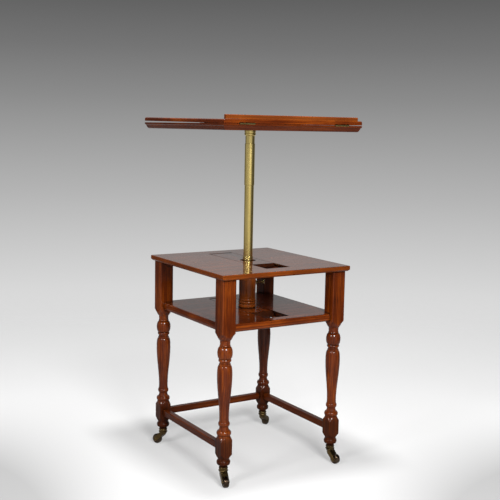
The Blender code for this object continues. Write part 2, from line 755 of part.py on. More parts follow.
def build_column(column, head, brass):
    """The lower tube, which slides in the sleeve, and the upper tube and head that turn on it."""
    bottom = SHELF_HEIGHT + SEAT_GAP
    bore = LOWER_TUBE_RADIUS - LOWER_TUBE_WALL
    outline = [(bore, bottom), (LOWER_TUBE_RADIUS, bottom), (LOWER_TUBE_RADIUS, LOWER_TUBE_TOP),
               (bore, LOWER_TUBE_TOP)]
    make_object(
        "lower_tube", turned(outline, COLUMN_FACETS, hollow=True), brass, column, smooth=True
    )

    inner = LOWER_TUBE_RADIUS + UPPER_TUBE_CLEARANCE
    outer = inner + UPPER_TUBE_WALL
    outline = [
        (inner, UPPER_TUBE_BOTTOM), (inner + UPPER_TUBE_WALL / 2, UPPER_TUBE_BOTTOM),
        (outer, UPPER_TUBE_BOTTOM + 2 * UPPER_TUBE_WALL), (outer, UPPER_TUBE_TOP),
        (inner, UPPER_TUBE_TOP),
    ]
    make_object(
        "upper_tube", turned(outline, COLUMN_FACETS, hollow=True), brass, head, smooth=True
    )

    spigot = LOWER_TUBE_TOP + SEAT_GAP
    underside = BOARD_UNDERSIDE
    ring_low = underside - HEAD_RING_HEIGHT
    soft = HEAD_RING_ROUND
    outline = [
        (0, spigot), (HEAD_NECK_RADIUS, spigot), (HEAD_NECK_RADIUS, ring_low),
        (HEAD_RING_RADIUS - soft, ring_low), (HEAD_RING_RADIUS, ring_low + soft),
        (HEAD_RING_RADIUS, underside), (HEAD_PLATE_RADIUS, underside),
        (HEAD_PLATE_RADIUS, underside + HEAD_PLATE_THICKNESS),
        (0, underside + HEAD_PLATE_THICKNESS),
    ]
    make_object("column_head", turned(outline, COLUMN_FACETS), brass, head, smooth=True)


def hinge_recesses(sign):
    """Seats for both hinges on one side of the seam; sign is -1 below it and +1 above."""
    shapes = []
    half = HINGE_LENGTH / 2 + SEAT_GAP
    knuckle = HINGE_KNUCKLE_RADIUS + SEAT_GAP
    plate = SEAM_GAP / 2 + HINGE_PLATE_THICKNESS + SEAT_GAP
    for side in SIDES.values():
        middle = side * BOARD_WIDTH * HINGE_SPACING_SHARE / 2
        for depth, drop in ((knuckle, knuckle), (HINGE_PLATE_DEPTH + SEAT_GAP, plate)):
            heights = sorted((-CUT_OVERRUN * sign, drop * sign))
            shapes.append(block(
                (middle - half, -CUT_OVERRUN, heights[0]), (middle + half, depth, heights[1])
            ))
    return shapes


def strut_pocket(sign):
    """The shallow pocket that the folded strut lies in, on one side of the seam."""
    heights = sorted((-CUT_OVERRUN * sign, POCKET_DEPTH * sign))
    start = STRUT_LENGTH - STRUT_THICKNESS / 2 - POCKET_MARGIN
    end = 2 * STRUT_LENGTH + STRUT_THICKNESS / 2 + POCKET_MARGIN
    return block((-POCKET_HALF_WIDTH, start, heights[0]), (POCKET_HALF_WIDTH, end, heights[1]))


def rack_span():
    """The racks' near and far ends behind the hinge axis: one pitch before the steepest foot."""
    steepest_foot = STRUT_LENGTH
    near = steepest_foot - RACK_PITCH / 2
    return near, near + RACK_PITCH * RACK_TOOTH_COUNT


def rack_place(sign):
    """A rack's inner and outer edge along X, just outside the strut's bracket."""
    inner = STRUT_WIDTH / 2 + BRACKET_THICKNESS + 2 * SEAT_GAP + RACK_SIDE_CLEARANCE
    return sorted((inner * sign, (inner + RACK_WIDTH) * sign))


def rack_shape(sign):
    """A saw-toothed rack: steep faces towards the reader, ramps falling away behind them."""
    near, far = rack_span()
    tip = -FOOT_ROD_RADIUS - SEAT_GAP
    root = tip - RACK_TOOTH_DEPTH
    base = root - RACK_BODY
    outline = [(near, base)]
    for tooth in range(RACK_TOOTH_COUNT):
        start = near + tooth * RACK_PITCH
        outline.append((start, root if tooth else tip))
        if tooth:
            outline.append((start, tip))
    outline += [(far, root), (far, base)]
    return prism_x(outline, *rack_place(sign)), base


def build_board(seam, wood, brass):
    """The fixed reading board, undercut along its edges, and the racks let into its pocket."""
    top = -SEAM_GAP / 2
    bottom = top - BOARD_THICKNESS
    layers = [
        (BOARD_UNDERCUT * inset, bottom + BOARD_THICKNESS * up)
        for inset, up in BOARD_UNDERCUT_SHARES
    ]
    layers.append((0, top))
    board = make_object(
        "reading_board", moulded_board(BOARD_WIDTH, 0, BOARD_DEPTH, layers), wood, seam
    )
    for shape in hinge_recesses(-1):
        cut(board, shape)
    cut(board, strut_pocket(-1))
    near, far = rack_span()
    for side, sign in SIDES.items():
        shape, base = rack_shape(sign)
        edges = rack_place(sign)
        cut(board, block(
            (edges[0] - SEAT_GAP, near - SEAT_GAP, base - SEAT_GAP),
            (edges[1] + SEAT_GAP, far + SEAT_GAP, top),
        ))
        make_object(f"ratchet_rack_{side}", shape, brass, seam)
    plate_seat = rod(
        HEAD_PLATE_RADIUS + SEAT_GAP, bottom - CUT_OVERRUN,
        bottom + HEAD_PLATE_THICKNESS + SEAT_GAP, COLUMN_FACETS,
    )
    cut(board, moved(plate_seat, y=-BOARD_FRONT))


def build_slope(slope, wood):
    """The hinged slope, rounded along its upper edges, with the book ledge along its front."""
    bottom = SEAM_GAP / 2
    top = bottom + SLOPE_THICKNESS
    round_low = top - SLOPE_EDGE_ROUND
    layers = [(0, bottom)] + quarter_round(SLOPE_EDGE_ROUND, round_low, top, 3, upward=True)
    board = moulded_board(BOARD_WIDTH, 0, BOARD_DEPTH, layers, plain_front=True)
    board = make_object("reading_slope", board, wood, slope)
    for shape in hinge_recesses(1):
        cut(board, shape)
    cut(board, strut_pocket(1))

    foot = top + SEAT_GAP
    crest = foot + LEDGE_HEIGHT - LEDGE_ROUND
    outline = [(0, foot), (LEDGE_DEPTH, foot)]
    outline += arc((LEDGE_DEPTH - LEDGE_ROUND, crest), LEDGE_ROUND, 0, 90, 3)
    outline += arc((LEDGE_ROUND, crest), LEDGE_ROUND, 90, 180, 3)
    left = LEDGE_LEFT_SETBACK - BOARD_WIDTH / 2
    right = BOARD_WIDTH / 2 - LEDGE_RIGHT_SETBACK
    make_object("book_ledge", prism_x(outline, left, right), wood, slope)


def hinge_leaf(name, middle, sign, finish, parent):
    """One leaf of a butt hinge: a plate with its own knuckles, on the pin's axis."""
    length = HINGE_LENGTH / HINGE_KNUCKLE_COUNT
    start = middle - HINGE_LENGTH / 2
    root = HINGE_KNUCKLE_RADIUS + SEAT_GAP
    own = [knuckle for knuckle in range(HINGE_KNUCKLE_COUNT) if knuckle % 2 == (sign > 0)]
    outline = []
    for knuckle in range(HINGE_KNUCKLE_COUNT):
        low, high = start + knuckle * length, start + (knuckle + 1) * length
        if knuckle in own:
            outline += [(low + SEAT_GAP / 2, 0), (high - SEAT_GAP / 2, 0)]
        else:
            outline += [(low + SEAT_GAP / 2, root), (high - SEAT_GAP / 2, root)]
    outline += [(start + HINGE_LENGTH, HINGE_PLATE_DEPTH), (start, HINGE_PLATE_DEPTH)]
    face = SEAM_GAP / 2
    heights = sorted((face * sign, (face + HINGE_PLATE_THICKNESS) * sign))
    leaf = make_object(name, prism_z(outline, *heights), finish, parent)
    for knuckle in own:
        low = start + knuckle * length + SEAT_GAP / 2
        barrel = rod(HINGE_KNUCKLE_RADIUS, low, low + length - SEAT_GAP, KNUCKLE_FACETS)
        join(leaf, along_x(barrel))
    bore = rod(
        HINGE_PIN_RADIUS + SEAT_GAP, start - CUT_OVERRUN, start + HINGE_LENGTH + CUT_OVERRUN,
        PIN_FACETS,
    )
    cut(leaf, along_x(bore))


def build_hinges(seam, slope, brass):
    """Two brass butt hinges in the front seam, each with a leaf below, a leaf above and a pin."""
    for side, sign in SIDES.items():
        middle = sign * BOARD_WIDTH * HINGE_SPACING_SHARE / 2
        hinge_leaf(f"hinge_lower_leaf_{side}", middle, -1, brass, seam)
        hinge_leaf(f"hinge_upper_leaf_{side}", middle, 1, brass, slope)
        half = HINGE_LENGTH / 2
        pin = along_x(rod(HINGE_PIN_RADIUS, middle - half, middle + half, PIN_FACETS))
        make_object(f"hinge_pin_{side}", pin, brass, seam, smooth=True)


def build_strut(slope, strut, wood, brass):
    """The easel strut under the slope, its brackets and pins, and the rod at its foot."""
    radius = STRUT_THICKNESS / 2
    half = STRUT_WIDTH / 2
    inside = half - STRUT_ARM_WIDTH
    outline = arc((STRUT_LENGTH, 0), radius, -90, 90, 6) + arc((0, 0), radius, 90, 270, 6)
    frame = make_object("prop_strut", prism_x(outline, -half, half), wood, strut)
    bar = STRUT_LENGTH - STRUT_BAR_SETBACK
    deep = radius + CUT_OVERRUN
    cut(frame, block((-inside, STRUT_HEAD_DEPTH, -deep), (inside, bar, deep)))
    cut(frame, block((-inside, bar + STRUT_BAR_DEPTH, -deep), (inside, STRUT_LENGTH + deep, deep)))
    end = half + CUT_OVERRUN
    bore = rod(FOOT_ROD_RADIUS + SEAT_GAP, -end, end, PIN_FACETS)
    cut(frame, moved(along_x(bore), y=STRUT_LENGTH))

    lug = half + SEAT_GAP
    outer = lug + BRACKET_THICKNESS
    ceiling = POCKET_DEPTH - SEAT_GAP
    step = ceiling - BRACKET_FOOT_THICKNESS
    toe = outer + BRACKET_FOOT_WIDTH
    profile = [(lug, -BRACKET_DROP), (outer, -BRACKET_DROP), (outer, step), (toe, step),
               (toe, ceiling), (lug, ceiling)]
    near = STRUT_LENGTH - BRACKET_LENGTH / 2
    for side, sign in SIDES.items():
        shape = prism_y([(x * sign, z) for x, z in profile], near, near + BRACKET_LENGTH)
        bracket = make_object(f"strut_bracket_{side}", shape, brass, slope)
        reach = sorted((inside * sign, (outer + SEAT_GAP) * sign))
        for piece, place in ((frame, 0), (bracket, STRUT_LENGTH)):
            hole = along_x(rod(PIVOT_PIN_RADIUS + SEAT_GAP, *reach, PIN_FACETS))
            cut(piece, moved(hole, y=place))
        ends = sorted(((inside + SEAT_GAP) * sign, outer * sign))
        pin = moved(along_x(rod(PIVOT_PIN_RADIUS, *ends, PIN_FACETS)), y=STRUT_LENGTH)
        make_object(f"strut_pivot_pin_{side}", pin, brass, slope, smooth=True)

    tip = rack_place(1)[1]
    foot_rod = moved(along_x(rod(FOOT_ROD_RADIUS, -tip, tip, PIN_FACETS)), y=STRUT_LENGTH)
    make_object("strut_foot_rod", foot_rod, brass, strut, smooth=True)


def fork_shape():
    """The outline of a caster's arm: a taper from the crown's shoulder to the axle's eye."""
    crown_top = LEG_SPIGOT_BOTTOM - SOCKET_FLOOR_THICKNESS - SEAT_GAP
    shoulder = (FORK_SHOULDER_RADIUS / 2, crown_top - FORK_SHOULDER_RADIUS)
    eye = (CASTER_TRAIL, WHEEL_RADIUS)
    slant = math.degrees(math.atan2(eye[1] - shoulder[1], eye[0] - shoulder[0]))
    outline = arc(eye, FORK_EYE_RADIUS, slant - 90, slant + 90, 4)
    outline += arc(shoulder, FORK_SHOULDER_RADIUS, slant + 90, slant + 270, 4)
    return outline, crown_top


def build_fork(name, swivel, brass):
    """A caster's horn: turned crown and pin, a tapered arm split for the wheel, and a bore."""
    outline, top = fork_shape()
    low = top - FORK_CROWN_THICKNESS
    pin_top = LEG_SPIGOT_BOTTOM + SWIVEL_PIN_LENGTH
    crown = [
        (0, low), (FORK_CROWN_RADIUS - FORK_CROWN_TAPER, low), (FORK_CROWN_RADIUS, top),
        (SWIVEL_PIN_RADIUS, top), (SWIVEL_PIN_RADIUS, pin_top), (0, pin_top),
    ]
    fork = make_object(name, turned(crown, SMALL_FACETS), brass, swivel)
    inner = WHEEL_WIDTH / 2 + WHEEL_SIDE_CLEARANCE
    outer = inner + FORK_CHEEK_THICKNESS
    join(fork, prism_y(outline, -outer, outer))
    well = along_y(rod(WHEEL_RADIUS + WHEEL_TREAD_CLEARANCE, -inner, inner, WHEEL_FACETS))
    cut(fork, moved(well, x=CASTER_TRAIL, z=WHEEL_RADIUS))
    bore = along_y(rod(AXLE_RADIUS + SEAT_GAP, -outer - CUT_OVERRUN, outer + CUT_OVERRUN))
    cut(fork, moved(bore, x=CASTER_TRAIL, z=WHEEL_RADIUS))
    return outer


def build_casters(brass):
    """Four brass casters: socket on the leg, swivelling horn, wheel and riveted axle."""
    for corner, (sign_x, sign_y) in CORNERS.items():
        place = (LEG_X * sign_x, LEG_Y * sign_y, 0)
        floor = LEG_SPIGOT_BOTTOM - SOCKET_FLOOR_THICKNESS
        waist = SOCKET_RADIUS - SOCKET_RIM
        rim = 2 * SOCKET_RIM
        hole = SWIVEL_PIN_RADIUS + 2 * SEAT_GAP
        cup = LEG_SPIGOT_RADIUS + SEAT_GAP
        outline = [
            (hole, floor), (waist, floor), (SOCKET_RADIUS, floor + SOCKET_RIM),
            (SOCKET_RADIUS, floor + rim), (waist, floor + rim + SOCKET_RIM), (waist, SOCKET_TOP),
            (cup, SOCKET_TOP), (cup, LEG_SPIGOT_BOTTOM), (hole, LEG_SPIGOT_BOTTOM),
        ]
        socket = make_object(
            f"caster_socket_{corner}", turned(outline, SOCKET_FACETS, hollow=True), brass,
            smooth=True,
        )
        socket.location = place

        swivel = make_empty(f"caster_swivel_{corner}", place)
        swivel.rotation_euler = (0, 0, math.radians(CASTER_TRAIL_DEGREES[corner]))
        outer = build_fork(f"caster_fork_{corner}", swivel, brass)

        axle = make_empty(f"caster_axle_line_{corner}", (CASTER_TRAIL, 0, WHEEL_RADIUS), swivel)
        tread = WHEEL_WIDTH / 2 - WHEEL_TREAD_ROUND
        side = WHEEL_WIDTH / 2
        bore = AXLE_RADIUS + SEAT_GAP
        outline = [
            (bore, -side), (WHEEL_RADIUS - WHEEL_TREAD_ROUND, -side), (WHEEL_RADIUS, -tread),
            (WHEEL_RADIUS, tread), (WHEEL_RADIUS - WHEEL_TREAD_ROUND, side), (bore, side),
        ]
        wheel = along_y(turned(outline, WHEEL_FACETS, hollow=True))
        make_object(f"caster_wheel_{corner}", wheel, brass, axle, smooth=True)

        seat = outer + SEAT_GAP
        end = seat + AXLE_HEAD_THICKNESS
        outline = [
            (0, -end), (AXLE_HEAD_RADIUS, -end), (AXLE_HEAD_RADIUS, -seat), (AXLE_RADIUS, -seat),
            (AXLE_RADIUS, seat), (AXLE_HEAD_RADIUS, seat), (AXLE_HEAD_RADIUS, end), (0, end),
        ]
        make_object(f"caster_axle_{corner}", along_y(turned(outline, SMALL_FACETS)), brass, axle)


def main():
    for thing in list(bpy.data.objects):
        bpy.data.objects.remove(thing)

    wood = make_material("polished_mahogany", (0.20, 0.065, 0.028), 0.30, 0)
    rail_wood = make_material("dry_mahogany", (0.16, 0.075, 0.040), 0.60, 0)
    brass = make_material("aged_brass", (0.62, 0.47, 0.20), 0.28, 1)
    caster_brass = make_material("dark_brass", (0.34, 0.25, 0.12), 0.42, 1)

    build_tabletop(wood)
    build_undershelf(wood)
    build_legs(wood)
    build_stretchers(wood)
    build_rails(rail_wood)
    build_casters(caster_brass)

    carriage = make_empty("carriage_slide", (0, 0, 0))
    column = make_empty("column_slide", (0, 0, 0), carriage)
    head = make_empty("head_swivel", (0, 0, 0), column)
    seam = make_empty("seam", (0, BOARD_FRONT, SEAM_HEIGHT), head)
    slope = make_empty("slope_hinge", (0, BOARD_FRONT, SEAM_HEIGHT), head)
    slope.rotation_euler = (SLOPE_REST, 0, 0)
    strut = make_empty("strut_hinge", (0, STRUT_LENGTH, 0), slope)
    strut.rotation_euler = (-2 * SLOPE_REST, 0, 0)

    build_carriage(carriage, wood, brass)
    build_lock(carriage, brass)
    build_column(column, head, brass)
    build_board(seam, wood, brass)
    build_slope(slope, wood)
    build_hinges(seam, slope, brass)
    build_strut(slope, strut, wood, brass)


main()
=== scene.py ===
"""The tilting reading table as it looks: polished mahogany, aged brass, and a plain studio."""

import math

import bmesh
import bpy
from mathutils import Matrix, Vector


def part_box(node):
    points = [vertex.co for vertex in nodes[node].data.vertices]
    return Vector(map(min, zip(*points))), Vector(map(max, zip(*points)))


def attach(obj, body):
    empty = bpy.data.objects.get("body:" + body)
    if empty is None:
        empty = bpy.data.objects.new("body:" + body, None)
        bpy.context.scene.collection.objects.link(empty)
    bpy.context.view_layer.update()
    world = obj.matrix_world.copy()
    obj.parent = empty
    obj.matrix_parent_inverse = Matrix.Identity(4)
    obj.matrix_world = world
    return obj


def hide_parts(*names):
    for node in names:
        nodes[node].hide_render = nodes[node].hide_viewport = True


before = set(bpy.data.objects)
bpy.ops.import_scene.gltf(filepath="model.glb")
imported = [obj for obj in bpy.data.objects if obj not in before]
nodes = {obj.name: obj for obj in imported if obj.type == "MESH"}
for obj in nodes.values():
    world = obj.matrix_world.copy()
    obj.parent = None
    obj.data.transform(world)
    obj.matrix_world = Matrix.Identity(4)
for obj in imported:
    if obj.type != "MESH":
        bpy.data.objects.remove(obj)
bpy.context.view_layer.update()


# The four legs: each is turned and squared from one stick of mahogany, with the post for the
# tabletop left square, a vase and beads below it, a square block for the stretchers and a bun
# foot. The lathe's shoulders run out over the square faces, and all of it is French polished.
class Value:
    """A shader socket. Arithmetic on it adds Math nodes to its tree."""

    def __init__(self, socket):
        self.socket = socket

    @staticmethod
    def node(tree, kind, settings, values, out=0):
        """Any node: its settings go in first, then its sockets' values or links."""
        made = tree.nodes.new(kind)
        for name, setting in settings.items():
            setattr(made, name, setting)
        for name, value in values.items():
            if isinstance(value, Value):
                tree.links.new(value.socket, made.inputs[name])
            else:
                made.inputs[name].default_value = value
        return Value(made.outputs[out])

    def maths(self, operation, *terms):
        """A Math node in this value's tree, with its terms in their order."""
        tree = self.socket.id_data
        return Value.node(tree, "ShaderNodeMath", {"operation": operation}, dict(enumerate(terms)))

    def vector(self, operation, other=(0, 0, 0), out="Vector"):
        """Vector maths; out is "Value" for the number that a length or a dot product gives."""
        chosen = {"operation": operation}
        ends = {0: self, 1: other}
        return Value.node(self.socket.id_data, "ShaderNodeVectorMath", chosen, ends, out)

    def coordinate(self, axis):
        """One of a vector's coordinates, 0 to 2."""
        return Value.node(self.socket.id_data, "ShaderNodeSeparateXYZ", {}, {0: self}, axis)

    def __add__(self, other):
        return self.maths("ADD", self, other)

    def __sub__(self, other):
        return self.maths("SUBTRACT", self, other)

    def __rsub__(self, other):
        return self.maths("SUBTRACT", other, self)

    def __mul__(self, other):
        return self.maths("MULTIPLY", self, other)

    def sine(self):
        return self.maths("SINE", self)

    def root(self):
        return self.maths("SQRT", self)

    def between(self, low, high):
        """0 below low, 1 above high, and a smooth step between them."""
        chosen = {"interpolation_type": "SMOOTHSTEP"}
        ends = {0: self, 1: low, 2: high}
        return Value.node(self.socket.id_data, "ShaderNodeMapRange", chosen, ends)

    def blend(self, first, second):
        """A colour between two, with this value as the factor."""
        ends = {0: self, 6: first, 7: second}
        return Value.node(self.socket.id_data, "ShaderNodeMix", {"data_type": "RGBA"}, ends, 2)


def new_finish(name, roughness, **plain):
    """A material with its Principled shader, its tree and the object's own coordinates."""
    finish = bpy.data.materials.new(name)
    finish.use_nodes = True
    tree = finish.node_tree
    shader = tree.nodes["Principled BSDF"]
    shader.inputs["Roughness"].default_value = roughness
    for socket, value in plain.items():
        shader.inputs[socket.replace("_", " ")].default_value = value
    place = Value.node(tree, "ShaderNodeTexCoord", {}, {}, "Object")
    return finish, tree, shader, place


def noise(tree, place, scale, detail, rough):
    """Smooth noise about 0.5, with scale waves to the metre before any stretching."""
    sizes = {"Vector": place, "Scale": scale, "Detail": detail, "Roughness": rough}
    return Value.node(tree, "ShaderNodeTexNoise", {}, sizes)


def crevices(tree, reach, inside=False):
    """0 in the bottom of a quirk, 1 on open surface; looking inside, 0 at a sharp arris."""
    chosen = {"samples": 8, "inside": inside, "only_local": inside}
    return Value.node(tree, "ShaderNodeAmbientOcclusion", chosen, {"Distance": reach}, "AO")


WOOD_DARK = (0.024, 0.0040, 0.0010, 1)
WOOD_MID = (0.108, 0.0165, 0.0012, 1)
WOOD_LIGHT = (0.268, 0.055, 0.0042, 1)
# The near black of the painted shade in quirks, corners and slots, and of the darker low parts.
WOOD_PAINTED_SHADE_AND_LOW_DARK = (0.010, 0.0038, 0.0018, 1)
RING_WIDTH, RING_WANDER = 0.0062, 0.030
FIGURE_STRETCH, FIBRE_STRETCH = 0.09, 0.035
QUIRK_REACH, ARRIS_REACH = 0.009, 0.0022
PORE_DEPTH = 0.0006
BELOW_FADE, SLOT_FADE = 0.02, 0.0010


def mahogany(name, grain, pith, polish=1.0, shade=None, figure=1.0, slot=None, darker_below=0,
             lipped=False):
    """Mahogany: growth rings about a far pith line, ribbon figure, pores, painted shade in the
    corners.

    grain is the axis, 0 to 2, that the fibres run along, pith the two other coordinates of the
    tree's centre, shade an amount and a colour that the piece leans towards, and darker_below a
    height below which the wood is darker and its polish thinner. Inside a slot, given as its half
    width and its near and far ends, the wood is painted near black for the shade there and left
    rough and unpolished. A lipped board shows long grain at its ends too.
    """
    finish, tree, shader, place = new_finish(
        name, 0.36, Coat_Roughness=0.07, Coat_IOR=1.5, Specular_IOR_Level=0.05,
    )
    across = [axis for axis in range(3) if axis != grain]
    figure_scales = [1.0, 1.0, 1.0]
    figure_scales[grain] = FIGURE_STRETCH
    fibre_scales = [1.0, 1.0, 1.0]
    fibre_scales[grain] = FIBRE_STRETCH
    facing = Value.node(tree, "ShaderNodeTexCoord", {}, {}, "Normal")
    if lipped:
        end = facing.coordinate(0)
        end = end.maths("ABSOLUTE", end).between(0.70, 0.74)
        figure_scales = end.blend((*figure_scales, 1), (1.0, FIGURE_STRETCH, 1.0, 1))
        fibre_scales = end.blend((*fibre_scales, 1), (1.0, FIBRE_STRETCH, 1.0, 1))
    along = place.vector("MULTIPLY", figure_scales)
    fibre = place.vector("MULTIPLY", fibre_scales)
    parts = [place.coordinate(axis) for axis in range(3)]
    # The rings wander and flame with the figure, streaks, ribbon and pores follow the fibres,
    # and the clouds spread every way.
    wander = noise(tree, along, 14, 3, 0.55)
    flame = noise(tree, along, 105, 2, 0.5)
    first = parts[across[0]] - pith[0]
    second = parts[across[1]] - pith[1]
    radius = (first * first + second * second).root() + wander * RING_WANDER
    rings = (radius * (math.tau / RING_WIDTH)).sine() * 0.5 + 0.5
    streak = noise(tree, fibre, 230, 3, 0.6)
    ribbon = noise(tree, fibre, 46, 2, 0.5)
    cloud = noise(tree, place, 9, 2, 0.5)
    light = rings * (0.07 * figure) + streak * 0.36 + ribbon * 0.30 + flame * 0.28
    light = light + cloud * 0.34 - 0.16
    pores = noise(tree, fibre, 880, 1, 0.5).between(0.58, 0.68)
    colour = light.between(0.22, 0.56).blend(WOOD_DARK, WOOD_MID)
    colour = light.between(0.48, 0.74).blend(colour, WOOD_LIGHT)
    colour = (pores * 0.5).blend(colour, WOOD_DARK)
    if shade:
        amount, towards = shade
        colour = (cloud * 0.4 + (amount - 0.2)).blend(colour, towards)
    # Below the given height the wood is darker and its polish thinner.
    if darker_below:
        low = parts[2].between(darker_below + BELOW_FADE, darker_below - BELOW_FADE)
        colour = (low * (cloud * 0.5 + 0.36)).blend(colour, WOOD_PAINTED_SHADE_AND_LOW_DARK)
    # Painted shade: the wood is darkened in quirks and corners, where ambient occlusion finds them.
    open_wood = crevices(tree, QUIRK_REACH).between(0.42, 0.95)
    # Painted shade: inside a slot the wood is made near black, rough and unpolished.
    if slot:
        half, near, far = slot
        wide = parts[0].maths("ABSOLUTE", parts[0]).between(half + SLOT_FADE, half)
        deep = parts[1].between(near - SLOT_FADE, near) * parts[1].between(far + SLOT_FADE, far)
        open_wood = open_wood * (1 - wide * deep * 0.95)
    rubbed = (1 - crevices(tree, ARRIS_REACH, inside=True)).between(0.22, 0.60)
    colour = (rubbed * streak * 0.55).blend(colour, WOOD_LIGHT)
    # Painted shade: quirks, corners and slots blend towards near black.
    colour = (open_wood * 0.86 + 0.14).blend(WOOD_PAINTED_SHADE_AND_LOW_DARK, colour)
    tree.links.new(colour.socket, shader.inputs["Base Color"])

    # The polish is smeared, thin in the pores and crevices, and thickest on level faces.
    smears = noise(tree, place, 26, 3, 0.6)
    rough = smears * 0.20 + pores * 0.18 + 0.26 + (1 - open_wood) * 0.2
    tree.links.new(rough.socket, shader.inputs["Roughness"])
    upward = facing.coordinate(2)
    level = upward.between(0.80, 0.97)
    coat = smears.between(0.25, 0.62) * 0.08 + 0.30 + upward.between(0.08, 0.34) * 0.45
    coat = (coat + level * 0.07) * polish
    coat = coat * (open_wood * 0.7 + 0.3) * (1 - rubbed * 0.5)
    if darker_below:
        coat = coat * (1 - low * 0.7)
    tree.links.new(coat.socket, shader.inputs["Coat Weight"])
    relief = streak * 0.25 - pores * 0.6 + noise(tree, place, 40, 1, 0.5) * 0.9
    relief = relief * (1 - level * 0.8)
    sunk = {"Strength": 0.10, "Distance": PORE_DEPTH, "Height": relief}
    bump = Value.node(tree, "ShaderNodeBump", {}, sunk)
    tree.links.new(bump.socket, shader.inputs["Normal"])
    return finish


def settled(made):
    """Turns an object's modifiers into plain mesh."""
    graph = bpy.context.evaluated_depsgraph_get()
    mesh = bpy.data.meshes.new_from_object(made.evaluated_get(graph))
    made.modifiers.clear()
    old = made.data
    made.data = mesh
    bpy.data.meshes.remove(old)


LEAST_ARRIS_ANGLE = math.radians(40)


def piece(name, shape, finish, body, replaced, sharp=35, arris=0, segments=3):
    """A finished piece at the origin, riding on its body and standing for its CAD nodes.

    Edges over sharp degrees stay crisp, and an arris is rounded to that width in segments.
    """
    mesh = bpy.data.meshes.new(name)
    shape.to_mesh(mesh)
    shape.free()
    mesh.shade_smooth()
    mesh.set_sharp_from_angle(angle=math.radians(sharp))
    mesh.materials.append(finish)
    made = bpy.data.objects.new(name, mesh)
    bpy.context.scene.collection.objects.link(made)
    if arris:
        step = made.modifiers.new("arris", "BEVEL")
        step.width = arris
        step.segments = segments
        step.limit_method = "ANGLE"
        step.angle_limit = LEAST_ARRIS_ANGLE
    made.modifiers.new("flats", "WEIGHTED_NORMAL").keep_sharp = True
    settled(made)
    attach(made, body)
    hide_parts(*replaced)


def ringed(rings):
    """A closed body through rings of points of equal count."""
    shape = bmesh.new()
    rows = [[shape.verts.new(point) for point in ring] for ring in rings]
    for low, high in zip(rows, rows[1:]):
        for i in range(len(low)):
            shape.faces.new((low[i - 1], low[i], high[i], high[i - 1]))
    shape.faces.new(rows[0][::-1])
    shape.faces.new(rows[-1])
    bmesh.ops.recalc_face_normals(shape, faces=shape.faces)
    return shape


STEPS_OF = {"line": 1, "bead": 12, "ball": 20, "curve": 24, "shoulder": 10}


def turning(moves, low, high, radius):
    """(height, radius) points up a turned stretch: form, height, radius and fullness shares."""
    points = []
    last_height, last_radius = low, radius
    for form, height_share, radius_share, fullness in moves:
        height, end_radius = low + (high - low) * height_share, radius * radius_share
        steps = STEPS_OF[form]
        for step in range(1, steps + 1):
            share = step / steps
            sweep = (1 - math.cos(math.pi * share)) / 2
            if form in ("bead", "ball"):
                middle = last_radius + (end_radius - last_radius) * share
                bulge = radius * fullness * math.sin(math.pi * share)
                points.append((last_height + (height - last_height) * sweep, middle + bulge))
            elif form == "shoulder":
                angle = math.pi / 2 * share
                points.append((
                    last_height + (height - last_height) * math.sin(angle),
                    end_radius + (last_radius - end_radius) * math.cos(angle),
                ))
            else:
                points.append((
                    last_height + (height - last_height) * share,
                    last_radius + (end_radius - last_radius) * sweep,
                ))
        last_height, last_radius = height, end_radius
    return points


LEG_X, LEG_Y = 0.1992, 0.2033
LEG_FOOT, LEG_TOP = 0.0463, 0.6272
POST_HALF, POST_BOTTOM = 0.023, 0.467
BLOCK_HALF, BLOCK_LOW, BLOCK_HIGH = 0.0195, 0.097, 0.140
LOWER_NECK, UPPER_NECK, POST_NECK = 0.083, 0.1525, 0.455
FOOT_PIN, LEG_ARRIS = 0.011, 0.0032
QUARTER_STEPS, SHOULDER_STEPS = 24, 16
SQUARE_REACH, SHOULDER_CURVE = 1.37, 1.25
UPPER_TURNING = (
    ("line", 0.011, 0.795, 0), ("bead", 0.057, 0.720, 0.200), ("line", 0.078, 0.605, 0),
    ("line", 0.098, 0.605, 0), ("bead", 0.139, 0.660, 0.120), ("line", 0.171, 0.625, 0),
    ("curve", 0.596, 1.000, 0), ("shoulder", 0.686, 0.830, 0), ("line", 0.688, 0.780, 0),
    ("line", 0.702, 0.780, 0), ("line", 0.706, 0.690, 0), ("line", 0.722, 0.690, 0),
    ("line", 0.726, 0.760, 0), ("bead", 0.750, 0.760, 0.085), ("line", 0.753, 0.725, 0),
    ("ball", 0.868, 0.700, 0.285), ("line", 0.870, 0.670, 0), ("bead", 0.886, 0.660, 0.060),
    ("line", 0.927, 0.690, 0), ("line", 0.940, 0.835, 0), ("line", 0.952, 0.935, 0),
)
LOWER_TURNING = (
    ("line", 0.361, 0.564, 0), ("line", 0.492, 0.880, 0), ("ball", 0.867, 0.920, 0.165),
    ("line", 0.920, 0.890, 0),
)
CORNERS = {
    "front_left": (-1, -1), "front_right": (1, -1), "back_left": (-1, 1), "back_right": (1, 1),
}


def squared_ring(height, radius, half, arris):
    """The leg's section: the lathe's circle where it has cut inside the square stock."""
    ring = []
    arris_centre = (half - arris) * math.sqrt(2)
    for quarter in range(4):
        for step in range(QUARTER_STEPS):
            offset = math.pi / 4 * math.sin(math.pi * ((step + 0.5) / QUARTER_STEPS - 0.5))
            reach = min(half / math.cos(offset), radius)
            lean = math.pi / 4 - abs(offset)
            aside = arris_centre * math.sin(lean)
            if aside < arris and half * math.tan(abs(offset)) > half - arris:
                arris_reach = arris_centre * math.cos(lean) + math.sqrt(arris ** 2 - aside ** 2)
                reach = min(reach, arris_reach)
            angle = math.pi / 2 * quarter + offset
            ring.append((reach * math.cos(angle), reach * math.sin(angle), height))
    return ring


